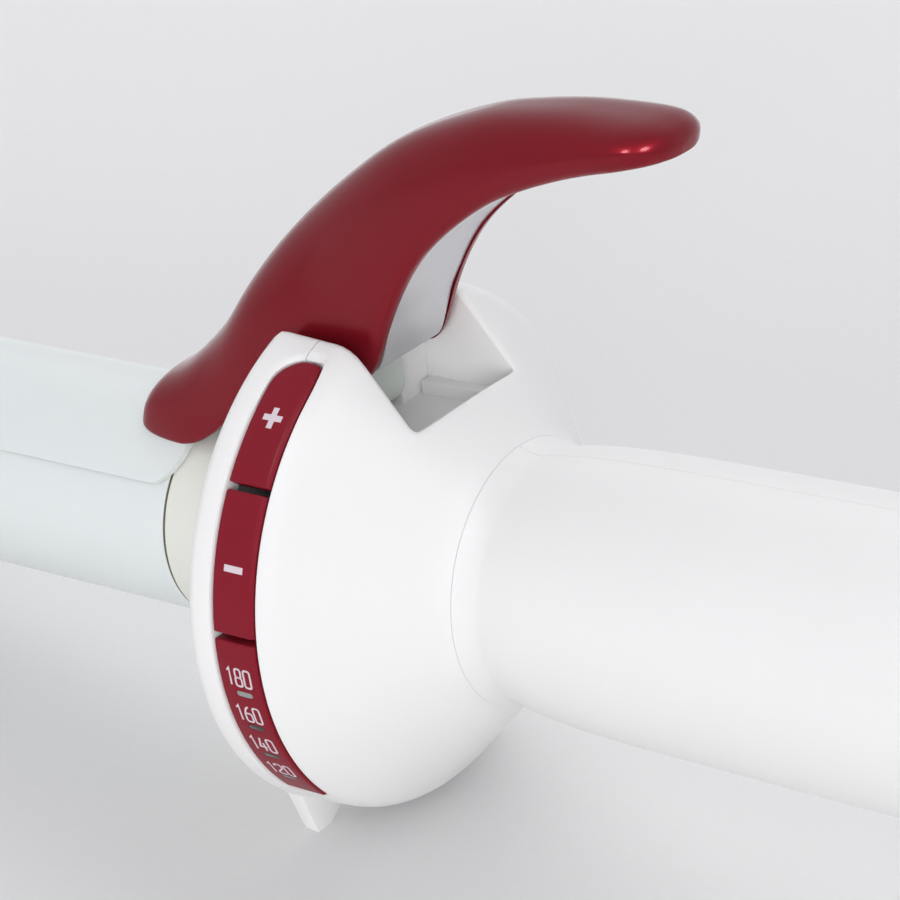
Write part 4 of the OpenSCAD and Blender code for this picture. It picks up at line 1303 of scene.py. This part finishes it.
    def build_marks(self) -> None:
        """Prints the plus, the minus and the scale's numbers."""
        half, edge = self.bar_half, self.plus_thick / 2
        bar = [(-half, 0), (half, 0)]
        lines = [bar, [(0, -half), (0, -edge)], [(0, edge), (0, half)]]
        bars = [self.stroke(f"plus_bar_{i}", line, self.plus_at, self.plus_thick)
                for i, line in enumerate(lines)]
        self.print_mark(Bench.join("plus_mark", bars), Body.PLUS)
        self.print_mark(self.stroke("minus_mark", bar, self.minus_at, self.minus_thick), Body.MINUS)
        width, height = self.figure_size
        for number, angle in self.scale:
            strokes = []
            for place, digit in enumerate(number):
                shift = (place - 1) * self.figure_pitch
                for line in digit_lines(digit):
                    shifted = [(shift + (x - 0.5) * width - self.figure_shift, (y - 0.5) * height)
                               for x, y in line]
                    strokes.append(self.stroke(f"stroke_{number}_{len(strokes)}", shifted, angle,
                                               self.figure_thick))
            self.print_mark(Bench.join(f"scale_{number}", strokes), Body.IRON)

    def print_mark(self, piece: Piece, body: Body) -> None:
        """Gives a printed mark its thickness and its finish."""
        Bench.modify(piece, "SOLIDIFY", thickness=self.print_thick * MM, offset=0)
        fit(piece, body, MARK)


def rounded(corners: Outline, radius: Point = (0.34, 0.16), steps: int = 4) -> list[Point]:
    """Rounds the corners of a line of points.

    Args:
        corners: the line's corners, closed if the last is the first.
        radius: the rounding across and up.
        steps: how many short steps each inner corner gets.

    Returns:
        The line with its corners rounded.
    """
    closed = corners[0] == corners[-1]
    ring = list(corners[:-1]) if closed else list(corners)
    line: list[Point] = []
    for i, corner in enumerate(ring):
        if not closed and i in (0, len(ring) - 1):
            line.append(corner)
            continue
        here = Vector(corner)
        ends = []
        for other in (Vector(ring[i - 1]), Vector(ring[(i + 1) % len(ring)])):
            step = other - here
            size = abs(step.x) / radius[0] + abs(step.y) / radius[1]
            ends.append(here + step * min(0.5, 1 / size))
        for t in (k / steps for k in range(steps + 1)):
            line.append(tuple(ends[0] * (1 - t) ** 2 + here * 2 * t * (1 - t) + ends[1] * t ** 2))
    return line + line[:1] if closed else line


def digit_lines(digit: str) -> list[list[Point]]:
    """Gives a squarish figure's strokes in a unit box.

    Args:
        digit: one of the scale's figures.

    Returns:
        Its strokes, from the box's lower left corner.
    """
    figures: dict[str, list[list[Point]]] = {
        "0": [rounded([(0, 0), (1, 0), (1, 1), (0, 1), (0, 0)])],
        "1": [[(0.28, 0.82), (0.62, 1.0), (0.62, 0.0)]],
        "2": [rounded([(0, 0.78), (0, 1), (1, 1), (1, 0.62), (0, 0.22), (0, 0), (1.02, 0)])],
        "4": [[(0.72, -0.02), (0.72, 0.62)], [(0.5, 1.0), (0.0, 0.3), (1.05, 0.3)]],
        "6": [rounded([(0.75, 1.0), (0.3, 0.86), (0, 0.5), (0, 0), (1, 0), (1, 0.55), (0.05, 0.55)])],
        "8": [rounded([(0, 0), (1, 0), (1, 0.5), (0, 0.5), (0, 0)]),
              rounded([(0.06, 0.5), (0.94, 0.5), (0.94, 1), (0.06, 1), (0.06, 0.5)])],
    }
    return figures[digit]


@dataclass
class Lever:
    """The red thumb lever, its silver liner and the clamp plate.

    Each row of knots, from the lobe's front to the paddle's tip, gives a section's lower edge and its
    crown, both along the barrel and up from where the hub's seam meets the clamp, and its share of the
    half width.
    """

    seam: float = HUB_SEAM
    clamp_out: float = 14.45
    clamp_in: float = 13.55
    clamp_x: float = -26.05
    clamp_tip: float = -161.65
    clamp_half: float = 11.8
    clamp_corner: float = 3.5
    clamp_corner_steps: int = 12
    clamp_steps: int = 60
    clamp_across: int = 20
    clamp_edge: float = 0.3
    sheet_angle: float = 50
    seat_gap: float = 0.05
    seat_from: float = -60.0
    seat_past: float = 1.0
    half: float = 8.4
    square: float = 2.7
    wall: float = 1.5
    smooth: float = 45
    stations: int = 240
    evening: int = 24
    ring: int = 56
    rim: float = 0.95
    rim_least: float = 0.25
    rim_growth: float = 0.04
    rim_from: float = -24.0
    rim_share: float = 0.4
    rim_tall: float = 2.2
    rim_tall_share: float = 0.5
    rim_steps: int = 8
    under_steps: int = 4
    nose_angles: tuple[float, ...] = (88, 80, 70, 60, 50, 40, 30, 20, 10)
    nose_rise: float = 0.12
    nose_wide: float = 0.02
    nose_power: float = 0.7
    hollow_from: float = 0.35
    hollow_to: float = 13.6
    hollow_share: float = 0.6
    hollow_below: float = 2.5
    liner_from: float = 5.95
    liner_to: float = 12.3
    liner_steps: int = 80
    liner_across: int = 8
    liner_half: float = 5.74
    liner_thick: float = 0.5
    liner_edge: float = 0.12
    liner_sink: float = 0.45
    curl_to: float = 6.3
    curl_len: float = 0.4
    curl_rise: float = 1.1
    knots: tuple[tuple[float, ...], ...] = (
        (-30.9, -1.4, -31.6, 0.6, 0.70), (-30.4, -2.1, -29.2, 3.75, 0.935), (-25.2, -3.0, -24.9, 6.3, 1.035),
        (-19.5, -1.3, -18.6, 12.0, 1.02), (-11.0, 6.4, -15.0, 17.0, 0.99), (-2.5, 9.0, -11.0, 21.6, 0.96),
        (3.6, 8.8, -6.1, 26.2, 0.92), (7.2, 16.7, -0.1, 30.9, 0.88), (12.2, 24.4, 7.6, 35.95, 0.86),
        (20.0, 30.55, 17.1, 39.5, 0.86), (25.2, 33.1, 23.0, 40.6, 0.862), (30.2, 34.9, 28.8, 41.15, 0.868),
        (34.2, 36.0, 33.4, 41.15, 0.876), (37.2, 36.6, 36.7, 41.0, 0.872), (39.2, 37.0, 38.9, 40.75, 0.81),
        (40.6, 37.2, 40.4, 40.3, 0.67), (41.4, 37.3, 41.3, 39.8, 0.50), (41.85, 37.35, 41.8, 39.1, 0.31),
        (42.0, 37.4, 42.0, 38.4, 0.10))

    def __post_init__(self) -> None:
        """Works out where the lever sits on the clamp."""
        self.seat = self.clamp_out + self.seat_gap
        self.seat_end = self.clamp_x + self.seat_past

    def row(self, t: float) -> list[float]:
        """Gives the smooth row between the knots.

        Args:
            t: the place along the lever, counted in rows.

        Returns:
            The row, with the same five values as a row of knots.
        """
        n = len(self.knots) - 1
        i = min(int(t), n - 1)
        u = t - i
        p0, p1, p2, p3 = (self.knots[k] for k in (max(i - 1, 0), i, i + 1, min(i + 2, n)))
        return [(2 * b + (c - a) * u + (2 * a - 5 * b + 4 * c - d) * u * u
                 + (3 * b - a - 3 * c + d) * u ** 3) / 2 for a, b, c, d in zip(p0, p1, p2, p3)]

    def even_rows(self) -> list[list[float]]:
        """Gives close rows from the lobe to the tip, evened out between their neighbours.

        Returns:
            The rows.
        """
        last = len(self.knots) - 1
        rows = [self.row(last * i / self.stations) for i in range(self.stations + 1)]
        for _ in range(self.evening):
            inner = [[(a + 2 * b + c) / 4 for a, b, c in zip(*rows[i - 1:i + 2])]
                     for i in range(1, len(rows) - 1)]
            rows = [rows[0], *inner, rows[-1]]
        return rows

    def drawn(self, row: Sequence[float]) -> tuple[Vector, Vector, float]:
        """Draws the section of a row.

        Args:
            row: the row's five values.

        Returns:
            The lower edge and the rise to the crown, both in (x, z), and the half width, in mm.
        """
        edge_x, edge_z, crown_x, crown_z, share = row
        wide = self.half * share
        edge = Vector((self.seam + edge_x, self.clamp_out + edge_z))
        if edge.x < self.seat_end:
            edge.y = max(edge.y, math.sqrt(self.seat ** 2 - wide ** 2))
        crown = Vector((self.seam + crown_x, self.clamp_out + crown_z))
        return edge, crown - edge, wide

    def over(self, edge: Vector, rise: Vector, wide: float, least: float) -> list[Vector]:
        """Gives points from one lower edge over the crown to the other.

        Args:
            edge: the lower edge in (x, z).
            rise: the way from it to the crown.
            wide: the half width.
            least: how far up the rise the first and the last point lie.

        Returns:
            The points in mm.
        """
        row = []
        start = math.asin((least / rise.length) ** (self.square / 2))
        for s in range(self.ring + 1):
            a = start + (math.pi - 2 * start) * s / self.ring
            c = math.cos(a)
            place = edge + rise * max(0.0, math.sin(a)) ** (2 / self.square)
            row.append(Vector((place.x, wide * math.copysign(abs(c) ** (2 / self.square), c), place.y)))
        return row

    def hoop(self, edge: Vector, rise: Vector, wide: float) -> list[Vector]:
        """Gives a closed section of the lever with a rounded rim.

        Args:
            edge: the lower edge in (x, z), in mm.
            rise: the way from it to the crown.
            wide: the half width.

        Returns:
            The points once round, in metres.
        """
        grown = self.rim_least + max(0.0, self.rim_growth * (edge.x - self.rim_from))
        r = min(self.rim, grown, self.rim_share * rise.length, self.rim_share * wide)
        tall = min(self.rim_tall * r, self.rim_tall_share * rise.length)
        top = self.over(edge, rise, wide, tall)
        reach = top[0].y
        rim = []
        for k in range(1, self.rim_steps + 1):
            a = math.pi / 2 * k / self.rim_steps
            place = edge + rise.normalized() * tall * (1 - math.sin(a))
            rim.append(Vector((place.x, r * (1 - math.cos(a)) - reach, place.y)))
        under = [Vector((edge.x, (reach - r) * k / self.under_steps, edge.y))
                 for k in range(1 - self.under_steps, self.under_steps)]
        far = [Vector((point.x, -point.y, point.z)) for point in reversed(rim)]
        return [point * MM for point in top + rim + under + far]

    def hoops(self) -> list[list[Vector]]:
        """Gives the lever's sections from the lobe's rounded front to the paddle's tip.

        Returns:
            The sections in metres.
        """
        edge, rise, wide = self.drawn(self.row(0))
        rows = []
        for a in map(math.radians, self.nose_angles):
            c, s = math.cos(a), math.sin(a)
            rows.append(self.hoop(edge - Vector((s, 0)), rise * max(c, self.nose_rise),
                                  wide * max(c, self.nose_wide) ** self.nose_power))
        return rows + [self.hoop(*self.drawn(row)) for row in self.even_rows()]

    def hollow(self) -> Piece:
        """Builds the tool that hollows the lever, open downwards.

        Returns:
            The tool.
        """
        rows = []
        for i in range(self.stations // 2 + 1):
            t = self.hollow_from + (self.hollow_to - self.hollow_from) * 2 * i / self.stations
            edge, rise, wide = self.drawn(self.row(t))
            inside = self.over(edge, rise * (1 - min(self.hollow_share, self.wall / rise.length)),
                               wide - self.wall, 0.0)
            below = edge - rise.normalized() * self.hollow_below
            low = [Vector((below.x, side * (wide - self.wall), below.y)) for side in (-1, 1)]
            rows.append([point * MM for point in [*inside, *low]])
        return Bench.lofted("hollow_tool", rows)

    def build(self) -> None:
        """Builds and dresses the lever's pieces."""
        shell = Bench.lofted("thumb_lever", self.hoops())
        Bench.cut(shell, self.hollow())
        start, end, seat = self.seat_from, self.seat_end, self.seat
        Bench.cut(shell, Bench.turned("seat_tool", [(start, 0.0), (start, seat), (end, seat), (end, 0.0)]))
        fit(shell, Body.LEVER, LEVER_RED, "lever_shell", smooth=self.smooth)
        self.build_liner()
        self.build_clamp()

    def build_liner(self) -> None:
        """Builds the silver plate that closes the lever's underside, curled in at its lower end."""
        across = [self.liner_half * k / self.liner_across
                  for k in range(-self.liner_across, self.liner_across + 1)]
        rows = []
        for i in range(self.liner_steps + 1):
            t = self.liner_from + (self.liner_to - self.liner_from) * i / self.liner_steps
            edge, rise, _ = self.drawn(self.row(t))
            curl = max(0.0, (self.curl_to - t) / self.curl_len)
            place = edge + rise.normalized() * (self.liner_sink + self.curl_rise * curl ** 2)
            rows.append([mm(place.x, y, place.y) for y in across])
        liner = Bench.sheet("lever_plate", rows)
        Bench.modify(liner, "SOLIDIFY", thickness=self.liner_thick * MM, offset=0)
        Bench.soften(liner, self.liner_edge, 2, self.sheet_angle)
        fit(liner, Body.LEVER, SILVER, "lever_liner")

    def build_clamp(self) -> None:
        """Builds the clamp plate as a curved sheet with rounded corners."""
        c, n = self.clamp_corner, self.clamp_across
        length = self.clamp_x - self.clamp_tip
        bends = [c * (1 - math.cos(math.radians(90 / self.clamp_corner_steps * i)))
                 for i in range(self.clamp_corner_steps + 1)]
        places = bends + [c + (length - 2 * c) * i / self.clamp_steps for i in range(1, self.clamp_steps)]
        places += [length - bend for bend in reversed(bends)]
        middle = (self.clamp_in + self.clamp_out) / 2
        rows = []
        for d in places:
            wide = self.clamp_half - drawn_in(c, min(d, length - d))
            flat = [wide * math.sin(math.pi / 2 * k / n) for k in range(-n, n + 1)]
            rows.append([mm(self.clamp_tip + d, y, math.sqrt(middle ** 2 - y ** 2)) for y in flat])
        plate = Bench.sheet("clamp", rows)
        Bench.modify(plate, "SOLIDIFY", thickness=(self.clamp_out - self.clamp_in) * MM, offset=0)
        Bench.soften(plate, self.clamp_edge, 3, self.sheet_angle)
        fit(plate, Body.LEVER, BARREL_COAT, "clamp_plate")


@dataclass
class Handle:
    """The hollow handle of two halves."""

    grip: float = 16.0
    swell: float = 6.0
    swell_len: float = 30.0
    swell_steps: int = 24
    swell_power: float = 1.3
    swell_skip: int = 3
    flare: float = 0.008
    lead_steps: int = 8
    outer_stations: tuple[float, ...] = (60, 75, 90, 105)
    inner_stations: tuple[float, ...] = (90, 60)
    end: float = 118.0
    end_round: float = 4.0
    end_steps: int = 10
    wall: float = 2.0
    end_wall: float = 2.5
    end_corner: float = 4.0
    outlet: float = 8.2
    steps: int = 192
    screw_places: Point = (30.0, 92.0)
    screw_rise: float = 8.5
    screw_hole: float = 2.35
    screw_from: float = 9.5
    screw_depth: float = 10.0

    def radius(self, x: float) -> float:
        """Gives the grip's radius at a place along it."""
        rise = 1 - math.exp(-(x - NECK_X) / self.swell)
        return NECK_RADIUS + (self.grip - NECK_RADIUS) * rise + self.flare * (x - NECK_X)

    def build(self, hub: Hub) -> None:
        """Builds and dresses the handle's halves.

        Args:
            hub: the hub, whose neck the handle carries on.
        """
        start, last, bend = NECK_SEAM + NECK_GAP / 2, self.radius(self.end), self.end_round
        lead = math.degrees(math.asin((NECK_X - start) / hub.hollow))
        swell = [NECK_X + self.swell_len * (i / self.swell_steps) ** self.swell_power
                 for i in range(1, self.swell_steps + 1)]
        outline = arc(hub.hollow_c, hub.hollow, 270 - lead, 270, self.lead_steps)
        outline += [(x, self.radius(x)) for x in (*swell, *self.outer_stations)]
        outline += arc((self.end - bend, last - bend), bend, 90, 0, self.end_steps)
        inside = self.end - self.end_wall
        outline += [(self.end, self.outlet), (inside, self.outlet), (inside, last - self.end_corner),
                    (self.end - self.end_corner, last - self.wall)]
        outline += [(x, self.radius(x) - self.wall)
                    for x in (*self.inner_stations, *reversed(swell[::self.swell_skip]))]
        outline += [(start, NECK_RADIUS - self.wall)]
        left = Bench.turned("grip_left", outline, self.steps)
        right = Bench.copy(left, "grip_right")
        for piece, side in ((left, 1), (right, -1)):
            Bench.slice(piece, mm(0, side * NECK_GAP / 2, 0), Vector((0, -side, 0)))
        for x in self.screw_places:
            edge = [mm(u, self.screw_from, w) for u, w in hole((x, self.screw_rise), self.screw_hole)]
            Bench.cut(left, Bench.extruded("screw_hole", edge, mm(0, self.screw_depth, 0)))
        fit(left, Body.IRON, WHITE_SHELL, "handle_left_shell")
        fit(right, Body.IRON, WHITE_SHELL, "handle_right_shell")


@dataclass
class Gland:
    """The swivelling gland at the handle's end, with its spindle, flange and tapered head."""

    steps: int = 120
    gap: float = 0.3
    spindle_from: float = 99.0
    spindle_bore: float = 3.6
    spindle: float = 5.2
    flange: float = 10.5
    flange_len: float = 3.2
    neck: float = 7.9
    head_round: float = 0.6
    head_core: float = 8.9
    shoulder_at: Point = (2.4, 9.0)
    shoulder_round: float = 0.5
    taper_from: float = 2.8
    taper: Point = (9.4, 6.7)
    grooves: int = 3
    groove_from: float = 3.6
    groove_pitch: float = 2.6
    groove_radius: float = 9.35
    groove_depth: float = 0.55
    groove_places: Triple = (0.25, 0.85, 1.1)
    groove_flat: float = 0.6
    mouth_at: float = 12.9
    mouth_round: float = 0.6
    mouth_core: float = 5.6
    lip_round: float = 0.7
    lip_core: float = 4.3

    def build(self, handle: Handle) -> None:
        """Turns and dresses the gland.

        Args:
            handle: the handle, in whose end the gland turns.
        """
        head, mouth = handle.end + self.gap, handle.end + self.mouth_at
        inside = handle.end - handle.end_wall - self.gap
        start, back = self.spindle_from, inside - self.flange_len
        outline = [(start, self.spindle_bore), (start, self.spindle), (back, self.spindle),
                   (back, self.flange), (inside, self.flange), (inside, self.neck), (head, self.neck)]
        outline += arc((head + self.head_round, self.head_core), self.head_round, 180, 90, 5)
        outline += arc((head + self.shoulder_at[0], self.shoulder_at[1]), self.shoulder_round, 90, 55, 4)
        run = mouth - self.mouth_round - head - self.taper_from
        slope = (self.taper[0] - self.taper[1]) / run
        down, flat_end, up = self.groove_places
        for i in range(self.grooves):
            x = head + self.groove_from + i * self.groove_pitch
            r = self.groove_radius - slope * (x - head - self.taper_from)
            low = r - self.groove_depth
            outline += [(x, r), (x + down, low), (x + flat_end, low - slope * self.groove_flat),
                        (x + up, r - slope * up)]
        outline += arc((mouth - self.mouth_round, self.mouth_core), self.mouth_round, 75, 0, 5)
        outline += arc((mouth - self.lip_round, self.lip_core), self.lip_round, 0, -90, 5)
        fit(Bench.turned("gland_head", outline, self.steps), Body.GLAND, WHITE_SHELL, "cord_gland")


@dataclass(frozen=True)
class Lamp:
    """A soft round lamp that faces the lever's paddle.

    Its way leads from the paddle to it in the iron's own frame. Its distance and its size are in metres,
    its power in watts, and its spread in degrees. A glint lamp shows only as a reflection in glossy
    finishes, and any other lamp only lights surfaces softly.
    """

    name: str
    way: Triple
    distance: float
    size: float
    power: float
    glint: bool = False
    spread: float = 180
    aim: Triple = (36, -6, 53)

    def hang(self) -> None:
        """Adds the lamp to the scene."""
        Bench.free()
        aim = mm(*self.aim)
        place = IRON @ (aim + Vector(self.way).normalized() * self.distance)
        bpy.ops.object.light_add(type="AREA", location=place)
        lamp = bpy.context.object
        lamp.name = self.name
        lamp.data.shape = "DISK"
        lamp.data.size = self.size
        lamp.data.energy = self.power
        lamp.data.spread = math.radians(self.spread)
        lamp.visible_glossy = self.glint
        lamp.visible_diffuse = not self.glint
        lamp.rotation_euler = (IRON @ aim - lamp.location).to_track_quat("-Z", "Y").to_euler()


@dataclass
class Studio:
    """The pale floor, the soft light and the camera, whose axes are in the iron's own frame."""

    floor_size: float = 12.0
    floor_colour: Triple = (0.78, 0.778, 0.780)
    floor_mottle: float = 0.015
    floor_grain: float = 1.2
    floor_detail: float = 3
    floor_roughness: float = 0.9
    floor_sheen: float = 0.1
    sky_colour: Triple = (0.965, 0.965, 1.0)
    sky_strength: float = 0.61
    camera_at: Triple = (192.699, -243.100, 147.235)
    camera_right: Triple = (0.81302, 0.57470, -0.09335)
    camera_up: Triple = (-0.16243, 0.37785, 0.91151)
    camera_back: Triple = (0.55912, -0.72591, 0.40054)
    lens: float = 120.0
    sensor: float = 36.0
    clip: float = 0.02
    lamps: tuple[Lamp, ...] = (
        Lamp("near_fill", (0.56, -0.73, 0.42), 1.2, 0.5, 1.7),
        Lamp("low_card", (0.45, -0.86, 0.16), 1.5, 0.5, 0.9, spread=60),
        Lamp("back_softbox", (-0.10, 0.50, 0.85), 1.8, 1.5, 3.8),
        Lamp("rear_softbox", (-0.45, 0.75, 0.55), 1.8, 1.5, 13.0),
        Lamp("glint_left", (0.075, -0.624, 0.778), 0.9, 0.26, 2.6, glint=True),
        Lamp("glint_right", (0.676, -0.180, 0.715), 0.9, 0.26, 2.6, glint=True))

    def build(self) -> None:
        """Builds the whole studio."""
        bpy.context.scene.view_settings.view_transform = "Standard"
        self.build_camera()
        self.build_floor()
        self.build_world()
        for lamp in self.lamps:
            lamp.hang()

    def build_camera(self) -> None:
        """Sets the camera at the photograph's viewing angle."""
        Bench.free()
        bpy.ops.object.camera_add()
        camera = bpy.context.object
        camera.data.lens = self.lens
        camera.data.sensor_width = self.sensor
        camera.data.clip_start = self.clip
        turn = Matrix((self.camera_right, self.camera_up, self.camera_back)).transposed().to_4x4()
        turn.translation = mm(*self.camera_at)
        camera.matrix_world = IRON @ turn
        bpy.context.scene.camera = camera

    def build_floor(self) -> None:
        """Lays the floor, which isn't part of the iron."""
        Bench.free()
        bpy.ops.mesh.primitive_plane_add(size=self.floor_size)
        floor = bpy.context.object
        floor.name = "floor"
        recipe = Recipe("pale_floor")
        share = recipe.noise(self.floor_grain, self.floor_detail)
        colour = recipe.mix(share, shade(self.floor_colour, 1 - self.floor_mottle),
                            shade(self.floor_colour, 1 + self.floor_mottle))
        recipe.set(Base_Color=colour, Roughness=self.floor_roughness, Specular_IOR_Level=self.floor_sheen)
        floor.data.materials.append(recipe.material)

    def build_world(self) -> None:
        """Sets soft light from all round."""
        world = bpy.context.scene.world or bpy.data.worlds.new("studio")
        bpy.context.scene.world = world
        world.use_nodes = True
        background = world.node_tree.nodes["Background"]
        background.inputs["Color"].default_value = (*self.sky_colour, 1)
        background.inputs["Strength"].default_value = self.sky_strength


def dress_inner_nodes() -> None:
    """Gives the CAD nodes that stay their finishes."""
    for finish, names in INNER_NODES.items():
        for name in names:
            materials = frame["nodes"][name].data.materials
            materials.clear()
            materials.append(finish.material())
            log.info("%s stays as it is, in %s", name, finish.name)


def main() -> None:
    """Builds the iron's pieces in order, then the studio."""
    logging.basicConfig(level=logging.INFO, format="%(message)s")
    dress_inner_nodes()
    strip, hub, handle = KeyStrip(), Hub(), Handle()
    builders: list[tuple[str, Callable[[], None]]] = [
        ("barrel", Barrel().build), ("hub", lambda: hub.build(strip)), ("key strip", strip.build),
        ("lever", Lever().build), ("handle", lambda: handle.build(hub)),
        ("gland", lambda: Gland().build(handle)), ("studio", Studio().build)]
    for name, build in builders:
        log.info("building the %s", name)
        build()


if __name__ == "__main__":
    main()
